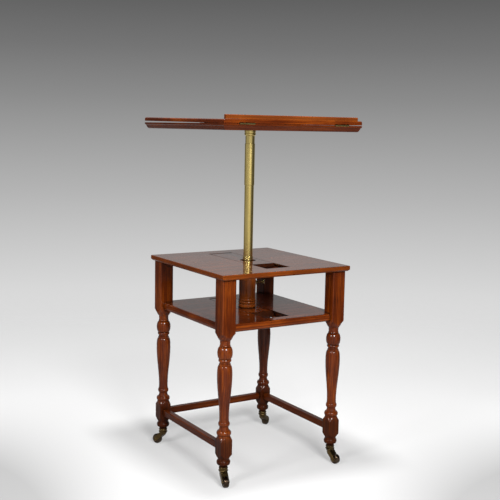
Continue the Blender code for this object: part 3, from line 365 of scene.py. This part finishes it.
def shoulder(neck, edge, half, narrow=1.0):
    """Where the lathe's round shoulder runs out over the square's faces, from neck to edge.

    narrow is its radius at the neck, as a share of half the square.
    """
    points = []
    for step in range(SHOULDER_STEPS + 1):
        share = step / SHOULDER_STEPS
        reach = half * (narrow + (SQUARE_REACH - narrow) * share ** SHOULDER_CURVE)
        points.append((neck + (edge - neck) * share, reach, half))
    return points


def leg_shape():
    """One leg on its own axis. A radius of uncut leaves the square as it was planed."""
    lower = turning(LOWER_TURNING, LEG_FOOT, LOWER_NECK, BLOCK_HALF)
    upper = turning(UPPER_TURNING, UPPER_NECK, POST_BOTTOM, POST_HALF)
    uncut = POST_HALF * 2
    rings = [(LEG_FOOT, FOOT_PIN, POST_HALF)]
    rings += [(height, radius, POST_HALF) for height, radius in lower]
    rings += shoulder(LOWER_NECK, BLOCK_LOW, BLOCK_HALF, narrow=0.90)
    rings += [(height, uncut, BLOCK_HALF) for height in (BLOCK_LOW, BLOCK_HIGH)]
    rings += shoulder(UPPER_NECK, BLOCK_HIGH, BLOCK_HALF)[::-1]
    rings += [(height, radius, POST_HALF) for height, radius in upper if height < POST_NECK]
    rings += shoulder(POST_NECK, POST_BOTTOM, POST_HALF)
    rings += [(height, uncut, POST_HALF) for height in (POST_BOTTOM + 0.0004, LEG_TOP)]
    return ringed([squared_ring(z, r, half, LEG_ARRIS) for z, r, half in rings])


leg_wood = mahogany("leg_mahogany", 2, (0.34, -0.27), darker_below=0.150)
for corner, (sign_x, sign_y) in CORNERS.items():
    leg = leg_shape()
    bmesh.ops.translate(leg, vec=(LEG_X * sign_x, LEG_Y * sign_y, 0), verts=leg.verts)
    piece(f"turned_leg_{corner}", leg, leg_wood, "frame", [f"leg_{corner}"])


# Three stretchers, planed from mahogany, tenoned into the lower blocks on the left, the right
# and the back. Their arrises are taken off and rubbed by feet. The boards, panels and other
# planed pieces are finished the same way, from the solids they are cut to.
SAME_POINT, SAME_PLANE = 0.00002, math.radians(1)


def eased(node, name, width, finish, body, segments=3, shaping=None):
    """A finished copy of a planed solid, with its arrises taken off, after any shaping."""
    shape = bmesh.new()
    shape.from_mesh(nodes[node].data)
    bmesh.ops.remove_doubles(shape, verts=shape.verts, dist=SAME_POINT)
    bmesh.ops.dissolve_limit(shape, angle_limit=SAME_PLANE, verts=shape.verts, edges=shape.edges)
    if shaping:
        for vertex in shape.verts:
            vertex.co += Vector(shaping(vertex.co))
    piece(name, shape, finish, body, [node], sharp=180, arris=width, segments=segments)


STRETCHER_SHADE = (0.45, (0.050, 0.011, 0.003, 1))
side_wood = mahogany("stretcher_mahogany", 1, (0.22, -0.30), polish=0.35, shade=STRETCHER_SHADE)
back_wood = mahogany("back_stretcher_mahogany", 0, (0.5, 0.30), polish=0.35, shade=STRETCHER_SHADE)
for side, wood in (("left", side_wood), ("right", side_wood), ("back", back_wood)):
    eased(f"stretcher_{side}", f"stretcher_bar_{side}", 0.0012, wood, "frame")


# The undershelf: one mahogany board with rounded edges, notched and housed into the posts, with
# the slot for the carriage down its middle. Its long grain runs from left to right.
SLOT_HALF, SLOT_END = 0.0434, 0.1784
# Inside its slot the board is painted near black for the shade there.
shelf_wood = mahogany("shelf_mahogany", 0, (0.10, 0.25), polish=0.78, figure=1.3,
                      slot=(SLOT_HALF, -SLOT_END, SLOT_END), lipped=True)
eased("undershelf", "shelf_board", 0.0010, shelf_wood, "frame")

# The tabletop: a mahogany board like the shelf, on the tops of the legs, with the same slot and
# a chamfer under its edge.
# Inside its slot the board is painted near black for the shade there.
table_wood = mahogany("tabletop_mahogany", 0, (-0.06, 0.40), figure=1.4,
                      shade=(0.35, (0.26, 0.060, 0.0055, 1)),
                      slot=(SLOT_HALF, -SLOT_END, SLOT_END), lipped=True)
eased("tabletop", "tabletop_board", 0.0012, table_wood, "frame")

# Four rails, screwed into rebates under the two boards, on which the sliding panels run. They
# are left unpolished, darkened by handling and waxed where the panels rub.
rail_wood = mahogany("rail_mahogany", 1, (0.3, 0.2), polish=0.1,
                     shade=(0.35, (0.030, 0.010, 0.004, 1)))
for level in ("table", "shelf"):
    for side in ("left", "right"):
        eased(f"{level}_rail_{side}", f"{level}_runner_{side}", 0.0006, rail_wood, "frame",
              2)

# The carriage: two mahogany panels, which run on the rails and slide together in the two slots.
# Their front ends are painted black for the shade there, like the inside of the slots.
PANEL_FRONT = -0.0872
PANEL_SIDE, PANEL_BACK = 0.03, 0.17
SIDE_SHRINKAGE, END_SHRINKAGE = 0.0009, 0.009
panel_wood = mahogany("panel_mahogany", 1, (0.16, 0.52), figure=1.2,
                      slot=(0.06, -0.20, PANEL_FRONT))


def shrunk(place):
    """The panels have shrunk in width and length, which leaves dark lines round them."""
    side = math.copysign(SIDE_SHRINKAGE, place.x) if abs(place.x) > PANEL_SIDE else 0
    return (-side, -END_SHRINKAGE if place.y > PANEL_BACK else 0, 0)


for level in ("table", "shelf"):
    eased(f"{level}_slide_panel", f"{level}_sliding_panel", 0.0005, panel_wood, "carriage",
          2, shaping=shrunk)


# The turned sleeve that joins the two panels and steadies the column: mahogany, with a moulded
# base of fillet, torus and bead on the lower panel.
CORNER_STEPS, SAME_CORNER = 6, 0.000005


def rounded(points):
    """An outline with soft corners: (radius, height, how far a corner is cut back) points."""
    outline = []
    for number, (x, z, soft) in enumerate(points):
        if not soft:
            outline.append((x, z))
            continue
        here = Vector((x, z))
        back = Vector(points[number - 1][:2]) - here
        ahead = Vector(points[(number + 1) % len(points)][:2]) - here
        start = here + back.normalized() * min(soft, back.length / 2)
        end = here + ahead.normalized() * min(soft, ahead.length / 2)
        for step in range(CORNER_STEPS + 1):
            share = step / CORNER_STEPS
            middle = start * (1 - share) ** 2 + here * 2 * share * (1 - share) + end * share ** 2
            if not outline or math.dist(middle, outline[-1]) > SAME_CORNER:
                outline.append((middle.x, middle.y))
    return outline


def lathe(outline, facets=96, hollow=False):
    """A body turned about Z from an outline for rounded; a hollow one closes on its bore."""
    shape = bmesh.new()
    angles = [math.tau * step / facets for step in range(facets)]
    rings = []
    for radius, height in rounded(outline):
        if radius:
            points = [(radius * math.cos(a), radius * math.sin(a), height) for a in angles]
            rings.append([shape.verts.new(point) for point in points])
        else:
            rings.append([shape.verts.new((0, 0, height))] * facets)
    bore = rings[:1] if hollow else []
    for low, high in zip(rings, rings[1:] + bore):
        for i in range(facets):
            # On the axis two of the four corners are one.
            corners = dict.fromkeys((low[i - 1], low[i], high[i], high[i - 1]))
            shape.faces.new(list(corners))
    bmesh.ops.recalc_face_normals(shape, faces=shape.faces)
    return shape


SHELF_TOP, SPIGOT_FOOT = 0.4913, 0.474
SLEEVE_SHOULDER, SLEEVE_TOP = 0.6266, 0.6418
SLEEVE_BORE, TOP_SPIGOT = 0.0165, 0.0246
# The sleeve's mahogany leans lighter and more orange: partly its own tone, partly painted light for
# how the lamps light it.
sleeve_wood = mahogany("sleeve_mahogany", 2, (0.13, 0.21), shade=(0.45, (0.25, 0.062, 0.0070, 1)))
sleeve = [
    (SLEEVE_BORE, SPIGOT_FOOT, 0), (0.0215, SPIGOT_FOOT, 0), (0.0215, SHELF_TOP, 0),
    (0.0266, SHELF_TOP, 0), (0.0266, SHELF_TOP + 0.0012, 0),
    (0.0284, SHELF_TOP + 0.0016, 0.0044), (0.0284, SHELF_TOP + 0.0126, 0.0044),
    (0.0262, SHELF_TOP + 0.0132, 0), (0.0262, SHELF_TOP + 0.0146, 0),
    (0.0288, SHELF_TOP + 0.0150, 0.0034), (0.0288, SHELF_TOP + 0.0216, 0.0034),
    (0.0264, SHELF_TOP + 0.0222, 0), (0.0264, SHELF_TOP + 0.0234, 0),
    (0.0282, SHELF_TOP + 0.0238, 0.0030), (0.0282, SHELF_TOP + 0.0296, 0.0030),
    (0.0266, SHELF_TOP + 0.0304, 0), (0.0270, SHELF_TOP + 0.0420, 0.006),
    (0.0274, SHELF_TOP + 0.0700, 0.012), (0.0274, SLEEVE_SHOULDER, 0),
    (TOP_SPIGOT, SLEEVE_SHOULDER, 0), (TOP_SPIGOT, SLEEVE_TOP, 0.0004), (SLEEVE_BORE, SLEEVE_TOP, 0),
]
piece("sleeve_turning", lathe(sleeve, hollow=True), sleeve_wood, "carriage",
      ["turned_sleeve"])


# The brass: a collar round the column on the tabletop, the bush at the column's foot, the lower
# tube that slides in them and the upper tube that turns on it, with a flange under the reading
# board. All were lacquered once, and are now worn to a dull gold with brown in the corners.
BRASS_BRIGHT = (0.78, 0.610, 0.225, 1)
BRASS_DULL = (0.58, 0.435, 0.140, 1)
BRASS_BROWN = (0.10, 0.062, 0.024, 1)
TARNISH_REACH, SCRATCH_DEPTH = 0.004, 0.00005


def brass(name, bright, dull, brown, worn, upright=True):
    """Worn brass: dull patches, brown spots, fine lines and tarnish in the corners.

    Upright brass has its patches and lines drawn out along Z, and little relief or spotting.
    """
    finish, tree, shader, place = new_finish(name, 0.24, Metallic=1.0)
    cloud = place.vector("MULTIPLY", (1, 1, 0.2) if upright else (1, 1, 1))
    cloud = noise(tree, cloud, 34, 1.5 if upright else 4, 0.6)
    spots = noise(tree, place, 110, 3, 0.5).between(0.66, 0.76)
    lines = place.vector("MULTIPLY", (1, 1, 0.03) if upright else (1, 1, 1))
    lines = noise(tree, lines, 420, 2, 0.6)
    open_metal = crevices(tree, TARNISH_REACH).between(0.30, 0.90)
    patches = cloud.between(0.36, 0.68)
    colour = (patches * worn * 0.8 + lines.between(0.45, 0.62) * 0.2).blend(bright, dull)
    colour = (spots * (0.08 if upright else 0.4)).blend(colour, brown)
    colour = open_metal.blend(brown, colour)
    tree.links.new(colour.socket, shader.inputs["Base Color"])
    rough = patches * 0.04 + lines * 0.06 + (1 - open_metal) * 0.3 + 0.16
    tree.links.new(rough.socket, shader.inputs["Roughness"])
    if not upright:
        height = {"Strength": 0.03, "Distance": SCRATCH_DEPTH, "Height": lines}
        bump = Value.node(tree, "ShaderNodeBump", {}, height)
        tree.links.new(bump.socket, shader.inputs["Normal"])
    return finish


column_brass = brass("column_brass", BRASS_BRIGHT, BRASS_DULL, BRASS_BROWN, 0.8)
TUBE, TUBE_BORE, RING_BORE, UPPER_BORE = 0.0149, 0.0134, 0.0152, 0.0153
TUBE_FOOT, TUBE_TOP = 0.4913, 0.990
UPPER_FOOT, UPPER_TOP = 0.8860, 1.0175
collar = [
    (RING_BORE, 0.6048, 0), (0.0162, 0.6048, 0), (0.0162, 0.6488, 0.0006), (0.0156, 0.6491, 0),
    (0.0156, 0.6498, 0), (0.0163, 0.6501, 0.0008), (0.0163, 0.6530, 0.0008), (0.0156, 0.6533, 0),
    (0.0156, 0.6540, 0), (0.0163, 0.6543, 0.0006), (0.0161, 0.6583, 0.0008), (RING_BORE, 0.6583, 0),
]
piece("collar_turning", lathe(collar, hollow=True), column_brass, "carriage",
      ["column_collar"])
bush = [
    (RING_BORE, 0.4733, 0.0004), (0.0162, 0.4733, 0),
    (0.0162, 0.4993, 0), (RING_BORE, 0.4993, 0.0004),
]
piece("foot_bush_ring", lathe(bush, hollow=True), column_brass, "carriage",
      ["foot_bush"])
lower = [
    (TUBE_BORE, TUBE_FOOT, 0), (TUBE, TUBE_FOOT, 0.0006),
    (TUBE, TUBE_TOP, 0.0004), (TUBE_BORE, TUBE_TOP, 0),
]
piece("column_lower_tube", lathe(lower, hollow=True), column_brass, "column",
      ["lower_tube"])
upper = [
    (UPPER_BORE, UPPER_FOOT, 0), (0.0158, UPPER_FOOT, 0.0003), (0.0161, 0.8876, 0.0008),
    (0.0161, UPPER_TOP, 0.0004), (UPPER_BORE, UPPER_TOP, 0),
]
piece("column_upper_tube", lathe(upper, hollow=True), column_brass, "head",
      ["upper_tube"])
BOARD_UNDER = 1.0598
head = [
    (0, 0.9903, 0), (TUBE, 0.9903, 0), (TUBE, 1.0190, 0), (TUBE, 1.0428, 0.0015),
    (0.0180, 1.0432, 0.0030), (0.0180, 1.0500, 0.0010), (0.0174, 1.0510, 0),
    (0.0174, 1.0520, 0), (0.0180, 1.0530, 0.0010), (0.0180, BOARD_UNDER, 0.0006),
    (0.0450, BOARD_UNDER, 0.0004), (0.0450, 1.0633, 0), (0, 1.0633, 0),
]
piece("column_flange", lathe(head), column_brass, "head", ["column_head"])


# The lock: a brass nut let into the sleeve's right side and a knurled thumb screw through it.
def lying_on_x(shape, height):
    """Lays a turned shape over, so that its axis runs along X at a height."""
    shape.transform(Matrix.Translation((0, 0, height)) @ Matrix.Rotation(math.pi / 2, 4, "Y"))
    return shape


LOCK_HEIGHT = 0.57017
lock_brass = brass("lock_brass", (0.42, 0.32, 0.13, 1), (0.22, 0.165, 0.07, 1), BRASS_BROWN, 1.0,
                   upright=False)
nut = [
    (0.0031, 0.0168, 0), (0.0060, 0.0168, 0), (0.0060, 0.0266, 0), (0.0090, 0.0266, 0.0006),
    (0.0090, 0.0302, 0.0012), (0.0062, 0.0328, 0.0008), (0.0031, 0.0328, 0.0004),
]
piece("lock_bush", lying_on_x(lathe(nut, 48, hollow=True), LOCK_HEIGHT), lock_brass, "carriage",
      ["lock_nut"])


RIM_LOW, RIM_HIGH, RIM_RADIUS = 0.057, 0.0612, 0.0072
KNURLS, KNURL_DEPTH = 30, 0.05


def knurled(outline):
    """A turned screw whose rim has ridges for the fingers."""
    shape = lathe(outline, KNURLS * 4)
    for vertex in shape.verts:
        reach = math.hypot(vertex.co.x, vertex.co.y)
        if RIM_LOW < vertex.co.z < RIM_HIGH and reach > RIM_RADIUS:
            angle = math.atan2(vertex.co.y, vertex.co.x)
            scale = 1 - KNURL_DEPTH * (0.5 - 0.5 * math.cos(angle * KNURLS))
            vertex.co.x *= scale
            vertex.co.y *= scale
    return shape


screw = [
    (0, 0.0152, 0), (0.0028, 0.0152, 0), (0.0028, 0.0331, 0), (0.0043, 0.0331, 0.0004),
    (0.0043, 0.0420, 0.0030), (0.0034, 0.0470, 0.0030), (0.0043, 0.0561, 0.0004),
    (0.0065, 0.0561, 0.0004), (0.0080, 0.0576, 0.0004), (0.0080, 0.0606, 0.0004),
    (0.0065, 0.0621, 0.0006), (0.0030, 0.0616, 0.001), (0, 0.0616, 0),
]
piece("lock_thumb_screw", lying_on_x(knurled(screw), LOCK_HEIGHT), lock_brass, "lock",
      ["lock_screw"])


# The reading board on the flange, the slope hinged to its front and the ledge that stops the
# book. They are thin mahogany boards, and the lower one is undercut all round.
board_wood = mahogany("board_mahogany", 0, (0.35, 1.30), lipped=True,
                      shade=(0.45, (0.060, 0.012, 0.003, 1)))
eased("reading_board", "board_top", 0.0009, board_wood, "head")


SLOPE_FRONT, SLOPE_DEPTH = -0.2557, 0.514
SAG, SAG_SHARE = 0.0045, 0.48
CORNER_START, CORNER_WIDTH, CORNER_LIFT = 0.13, 0.1145, 0.0016


def cupped(place):
    """The slope has cupped with age: its middle lies down on the board and its corners lift."""
    back = (place.y - SLOPE_FRONT) / SLOPE_DEPTH
    lift = SAG * (max(0.0, back - SAG_SHARE) / (1 - SAG_SHARE)) ** 1.3 - SAG * back
    right = max(0.0, place.x - CORNER_START) / CORNER_WIDTH
    return (0, 0, lift + CORNER_LIFT * right ** 1.5 * max(0.0, 1 - back * 2))


slope_wood = mahogany("slope_mahogany", 0, (0.10, 1.55), lipped=True)
eased("reading_slope", "slope_board", 0.0009, slope_wood, "slope",
      shaping=cupped)
ledge_wood = mahogany("ledge_mahogany", 0, (-0.30, 1.02), shade=(0.35, (0.25, 0.066, 0.0100, 1)))
eased("book_ledge", "ledge_strip", 0.0004, ledge_wood, "slope")

# The easel strut: a thin mahogany frame on brass pins under the slope, with a brass rod through
# its foot that drops into the racks. The racks, the strut's brackets and the hinges are cut from
# brass plate and let into the wood.
strut_wood = mahogany("strut_mahogany", 1, (0.4, 1.2), polish=0.7)
eased("prop_strut", "strut_frame", 0.0008, strut_wood, "strut")
plate_brass = brass("plate_brass", (0.60, 0.47, 0.20, 1), (0.36, 0.27, 0.10, 1), BRASS_BROWN, 0.9,
                    upright=False)
eased("strut_foot_rod", "strut_foot_rod_metal", 0.0002, plate_brass, "strut", 2)
for kind, body in (
    ("strut_bracket", "slope"), ("strut_pivot_pin", "slope"), ("ratchet_rack", "head"),
    ("hinge_lower_leaf", "head"), ("hinge_upper_leaf", "slope"), ("hinge_pin", "head"),
):
    for side in ("left", "right"):
        eased(f"{kind}_{side}", f"{kind}_{side}_metal", 0.0002, plate_brass, body, 2)


# Slotted brass wood screws, driven in almost flush and turned every way: three in each hinge
# leaf, four in the flange and four in each rail.
def screw_tree():
    """A node group that sets a slotted head on every point of a mesh."""
    group = bpy.data.node_groups.new("slotted_screws", "GeometryNodeTree")
    for label, kind in (
        ("Points", "Geometry"), ("Radius", "Float"), ("Height", "Float"), ("Slot", "Vector"),
        ("Low turn", "Vector"), ("High turn", "Vector"), ("Seed", "Int"), ("Finish", "Material"),
    ):
        group.interface.new_socket(name=label, in_out="INPUT", socket_type=f"NodeSocket{kind}")
    group.interface.new_socket(name="Heads", in_out="OUTPUT", socket_type="NodeSocketGeometry")
    given = group.nodes.new("NodeGroupInput").outputs

    def node(kind, settings, values):
        """A geometry node's first output."""
        made = group.nodes.new(f"GeometryNode{kind}")
        for label, setting in settings.items():
            setattr(made, label, setting)
        for label, value in values.items():
            if isinstance(value, bpy.types.NodeSocket):
                group.links.new(value, made.inputs[label])
            else:
                made.inputs[label].default_value = value
        return made.outputs[0]

    head = node("MeshCylinder", {}, {"Vertices": 32, "Radius": given["Radius"],
                                     "Depth": given["Height"]})
    cutter = node("MeshCube", {}, {"Size": given["Slot"]})
    head = node("MeshBoolean", {"operation": "DIFFERENCE"}, {"Mesh 1": head, "Mesh 2": cutter})
    turn = group.nodes.new("FunctionNodeRandomValue")
    turn.data_type = "FLOAT_VECTOR"
    group.links.new(given["Low turn"], turn.inputs[0])
    group.links.new(given["High turn"], turn.inputs[1])
    group.links.new(given["Seed"], turn.inputs["Seed"])
    heads = node("InstanceOnPoints", {}, {"Points": given["Points"], "Instance": head,
                                          "Rotation": turn.outputs[0]})
    heads = node("RealizeInstances", {}, {"Geometry": heads})
    heads = node("SetMaterial", {}, {"Geometry": heads, "Material": given["Finish"]})
    group.links.new(heads, group.nodes.new("NodeGroupOutput").inputs["Heads"])
    return group


SCREW_PROUD, SLOT_CUT = 0.00012, 0.00030
screws = screw_tree()


def screwed(name, places, upward, radius, seed, body):
    """Screw heads at places on a level face, as one piece of their body."""
    mesh = bpy.data.meshes.new(name)
    mesh.from_pydata(places, [], [])
    made = bpy.data.objects.new(name, mesh)
    bpy.context.scene.collection.objects.link(made)
    step = made.modifiers.new("heads", "NODES")
    step.node_group = screws
    tip = 0.0 if upward else math.pi
    chosen = {
        "Radius": radius, "Height": SCREW_PROUD * 2, "Slot": (radius * 3, radius * 0.28, SLOT_CUT),
        "Low turn": (tip, 0.0, 0.0), "High turn": (tip, 0.0, math.tau), "Seed": seed,
        "Finish": plate_brass,
    }
    for socket in screws.interface.items_tree:
        if socket.in_out == "INPUT" and socket.name in chosen:
            step[socket.identifier] = chosen[socket.name]
    made.update_tag()
    settled(made)
    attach(made, body)


LEAF_SPACING, LEAF_MARGIN = 0.018, 0.0065
for leaf, level, upward, seed, body in (
    ("lower", 1.0788, True, 3, "head"), ("upper", 1.0792, False, 4, "slope"),
):
    places = []
    for side in ("left", "right"):
        low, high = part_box(f"hinge_{leaf}_leaf_{side}")
        middle = (low[0] + high[0]) / 2
        for gap in (-LEAF_SPACING, 0, LEAF_SPACING):
            places.append((middle + gap, high[1] - LEAF_MARGIN, level))
    screwed(f"hinge_screws_{leaf}", places, upward, 0.0021, seed, body)
FLANGE_CIRCLE, RAIL_SCREWS = 0.034, (-0.17, -0.06, 0.06, 0.17)
places = []
for quarter in range(4):
    angle = math.radians(45 + 90 * quarter)
    places.append((FLANGE_CIRCLE * math.cos(angle), FLANGE_CIRCLE * math.sin(angle), BOARD_UNDER))
screwed("flange_screws", places, False, 0.0032, 7, "head")
places = []
for level in ("table", "shelf"):
    for side in ("left", "right"):
        low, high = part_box(f"{level}_rail_{side}")
        middle = (low[0] + high[0]) / 2
        places += [(middle, along, low[2]) for along in RAIL_SCREWS]
screwed("rail_screws", places, False, 0.0030, 11, "frame")


# The casters: brass cups on the bun feet, each with a swivelling horn and a solid wheel on a
# rivet, all cast and turned, and browned by age and the floor.
caster_brass = brass("caster_brass", (0.170, 0.110, 0.042, 1), (0.055, 0.034, 0.015, 1),
                     (0.018, 0.011, 0.006, 1), 1.0, upright=False)
wheel_brass = brass("wheel_brass", (0.120, 0.085, 0.055, 1), (0.045, 0.028, 0.018, 1),
                    (0.016, 0.010, 0.006, 1), 1.0, upright=False)
TRAIL, WHEEL_RADIUS = 0.0235, 0.016
TRAIL_DEGREES = {"front_left": -103, "front_right": -78, "back_left": 117, "back_right": 28}
cup = [
    (0.0036, 0.0435, 0), (0.0130, 0.0435, 0.0006), (0.0146, 0.0447, 0.0008),
    (0.0146, 0.0465, 0.0008), (0.0132, 0.0476, 0), (0.0131, 0.0520, 0), (0.0140, 0.0530, 0.0006),
    (0.0140, 0.0546, 0.0006), (0.0132, 0.0556, 0), (0.0134, 0.0570, 0.0004), (0.0113, 0.0570, 0),
    (0.0113, 0.0460, 0), (0.0036, 0.0460, 0),
]
wheel_side = [
    (0.0025, -0.0080, 0), (0.0058, -0.0080, 0.0004), (0.0066, -0.0070, 0.0004),
    (0.0108, -0.0067, 0.0006), (0.0120, -0.0080, 0.0006), (0.0138, -0.0080, 0.0012),
    (0.0160, -0.0052, 0.0022),
]
wheel_outline = wheel_side + [(radius, -out, soft) for radius, out, soft in wheel_side[::-1]]
for corner, (sign_x, sign_y) in CORNERS.items():
    stand = Matrix.Translation((LEG_X * sign_x, LEG_Y * sign_y, 0))
    swivel = stand @ Matrix.Rotation(math.radians(TRAIL_DEGREES[corner]), 4, "Z")
    shape = lathe(cup, 48, hollow=True)
    shape.transform(stand)
    piece(f"caster_cup_{corner}", shape, caster_brass, "frame",
          [f"caster_socket_{corner}"])
    shape = lathe(wheel_outline, 64, hollow=True)
    hub = swivel @ Matrix.Translation((TRAIL, 0, WHEEL_RADIUS))
    shape.transform(hub @ Matrix.Rotation(math.pi / 2, 4, "X"))
    piece(f"caster_roller_{corner}", shape, wheel_brass, f"wheel_{corner}",
          [f"caster_wheel_{corner}"])
    eased(f"caster_fork_{corner}", f"caster_horn_{corner}", 0.0007, caster_brass,
          f"caster_{corner}")
    eased(f"caster_axle_{corner}", f"caster_rivet_{corner}", 0.0003, caster_brass,
          f"caster_{corner}", 2)


# The studio: pale paper on the floor that fades into a grey backdrop, a soft box on either side
# of the camera, one overhead that throws the table's shadow straight down, and a weak fill. The
# paper is painted darker towards the sides of the camera's view, a painted falloff of light.
CAMERA_FOOT, CAMERA_HEIGHT = (-1.5363, -2.4844, 0), 1.0686
VIEW_RIGHT, VIEW_AHEAD = (0.8494, -0.5278, 0), (0.5278, 0.8494, 0)
FLOOR_HALF = 14
CORNER_STRENGTH, DARKEST_CORNER = 9.5, 0.45


def ray(tree, kind):
    """1 where the light path is of one kind: Camera, Glossy or Transmission."""
    return Value.node(tree, "ShaderNodeLightPath", {}, {}, f"Is {kind} Ray")


def grey(level):
    """A grey for a colour socket."""
    return (level, level, level, 1)


def grey_ramp(tree, share, greys):
    """Greys that follow one another as share goes from 0 to 1."""
    made = tree.nodes.new("ShaderNodeValToRGB")
    stops = made.color_ramp.elements
    stops.remove(stops[-1])
    for number, (place, level) in enumerate(greys):
        stop = stops.new(place) if number else stops[0]
        stop.position = place
        stop.color = grey(level)
    tree.links.new(share.socket, made.inputs["Fac"])
    return Value(made.outputs["Color"])


floor_mesh = bpy.data.meshes.new("studio_floor")
shape = bmesh.new()
bmesh.ops.create_grid(shape, x_segments=1, y_segments=1, size=FLOOR_HALF)
shape.to_mesh(floor_mesh)
shape.free()
floor = bpy.data.objects.new("studio_floor", floor_mesh)
bpy.context.scene.collection.objects.link(floor)
floor_finish, tree, shader, place = new_finish("floor_paper", 0.9, Specular_IOR_Level=0.0)
# The camera sees the paper bright, the polish mirrors it dimly, and it bounces little light.
mirrored = ray(tree, "Glossy")
shown = ray(tree, "Camera") + mirrored * 0.35 + ray(tree, "Transmission")
away = place.vector("SUBTRACT", CAMERA_FOOT)
reach = away.vector("LENGTH", out="Value")
aside = away.vector("DOT_PRODUCT", VIEW_RIGHT, "Value")
spread = aside.maths("DIVIDE", aside, reach)
middle = place.vector("LENGTH", out="Value")
# Painted falloff of light: the paper's colour and glow darken towards the sides of the view.
corner = spread * spread * CORNER_STRENGTH * reach.between(3.7, 2.3) * middle.between(1.7, 0.9)
corner = corner.maths("MINIMUM", corner, DARKEST_CORNER)
paper = shown.blend(grey(0.30), corner.blend(grey(0.50), grey(0)))
glow = shown.blend(grey(0), corner.blend(grey(0.36), grey(0)))
tree.links.new(paper.socket, shader.inputs["Base Color"])
tree.links.new(glow.socket, shader.inputs["Emission Color"])
shader.inputs["Emission Strength"].default_value = 1.0
# The paper ends softly far behind the table, and closer to it in reflections.
gone = reach.between(3.5, 6.2) * (1 - mirrored) + middle.between(1.2, 2.2) * mirrored
nothing = Value.node(tree, "ShaderNodeBsdfTransparent", {}, {})
fade = Value.node(tree, "ShaderNodeMixShader", {},
                  {0: gone, 1: Value(shader.outputs[0]), 2: nothing})
tree.links.new(fade.socket, tree.nodes["Material Output"].inputs["Surface"])
floor_mesh.materials.append(floor_finish)

# The backdrop ahead of the camera darkens up to the top of the picture and is lighter above it.
# Grey walls on the other sides show in reflections, and matt surfaces get one weak grey all round.
BACKDROP_LOW, BACKDROP_SPAN, REFLECTION_RISE = -0.30, 0.90, 0.022
BACKDROP_GREYS = (
    (-0.280, 0.925), (-0.074, 0.462), (0.031, 0.258), (0.083, 0.176), (0.136, 0.116),
    (0.148, 0.40), (0.5, 0.50),
)
WALL_GREYS = ((0.0, 0.72), (0.10, 0.68), (0.20, 0.36), (0.27, 0.12), (0.50, 0.12), (0.70, 0.06))
world = bpy.data.worlds.new("studio_air")
world.use_nodes = True
bpy.context.scene.world = world
tree = world.node_tree
mirrored = ray(tree, "Glossy")
direction = Value.node(tree, "ShaderNodeTexCoord", {}, {}, "Generated")
height = direction.coordinate(2)
ahead = direction.vector("DOT_PRODUCT", VIEW_AHEAD, "Value")
leftward = direction.vector("DOT_PRODUCT", (-0.996, 0.087, 0), "Value")
share = (height + mirrored * REFLECTION_RISE - BACKDROP_LOW) * (1 / BACKDROP_SPAN)
backdrop = grey_ramp(tree, share, [
    ((level - BACKDROP_LOW) / BACKDROP_SPAN, shade) for level, shade in BACKDROP_GREYS
])
walls = grey_ramp(tree, ahead * 0.5 + 0.5, WALL_GREYS)
walls = leftward.between(0.50, 0.95).blend(walls, grey(0.42))
walls = height.between(0.10, 0.50).blend(walls, grey(0.06))
room = ahead.between(0.55, 0.85).blend(walls, backdrop)
light = (ray(tree, "Camera") + mirrored).blend(grey(0.10), room)
tree.links.new(light.socket, tree.nodes["Background"].inputs["Color"])

LAMP_AIM = Vector((0, 0, 0.55))


def soft_box(name, degrees, rise, distance, side, power, mirrored_in_gloss=True):
    """A square lamp aimed at the table: its bearing, its rise over the floor and its distance.

    One that isn't mirrored in gloss lights the table without showing in the polish.
    """
    lamp = bpy.data.lights.new(name, "AREA")
    lamp.shape = "SQUARE"
    lamp.size = side
    lamp.energy = power
    made = bpy.data.objects.new(name, lamp)
    bearing, lift = math.radians(degrees), math.radians(rise)
    away = Vector((
        math.cos(bearing) * math.cos(lift), math.sin(bearing) * math.cos(lift), math.sin(lift)
    ))
    made.location = LAMP_AIM + away * distance
    made.rotation_euler = (-away).to_track_quat("-Z", "Y").to_euler()
    made.visible_glossy = mirrored_in_gloss
    bpy.context.scene.collection.objects.link(made)


soft_box("left_box", 199, 27, 2.8, 0.62, 31)
soft_box("right_box", 257, 27, 2.8, 0.80, 74)
soft_box("fill_box", 275, 45, 3.2, 1.8, 16, mirrored_in_gloss=False)
soft_box("top_box", 250, 87, 2.8, 0.30, 84, mirrored_in_gloss=False)

# The camera stands to the left of the reader, a little below the slope.
FOCAL_LENGTH, PICTURE_WIDTH, SENSOR_WIDTH = 915.875, 500, 36
YAW, PITCH, ROLL = (math.radians(angle) for angle in (31.8546, -7.6259, 1.0583))
camera = bpy.data.cameras.new("view")
camera.sensor_width = SENSOR_WIDTH
camera.lens = FOCAL_LENGTH / PICTURE_WIDTH * SENSOR_WIDTH
viewer = bpy.data.objects.new("view", camera)
bpy.context.scene.collection.objects.link(viewer)
ahead = Vector((
    math.sin(YAW) * math.cos(PITCH), math.cos(YAW) * math.cos(PITCH), math.sin(PITCH)
))
right = Vector((math.cos(YAW), -math.sin(YAW), 0))
above = right.cross(ahead)
turned_right = math.cos(ROLL) * right + math.sin(ROLL) * above
turned_above = -math.sin(ROLL) * right + math.cos(ROLL) * above
turn = Matrix((turned_right, turned_above, -ahead)).transposed().to_4x4()
viewer.matrix_world = Matrix.Translation((*CAMERA_FOOT[:2], CAMERA_HEIGHT)) @ turn
bpy.context.scene.camera = viewer
bpy.context.scene.view_settings.view_transform = "Standard"
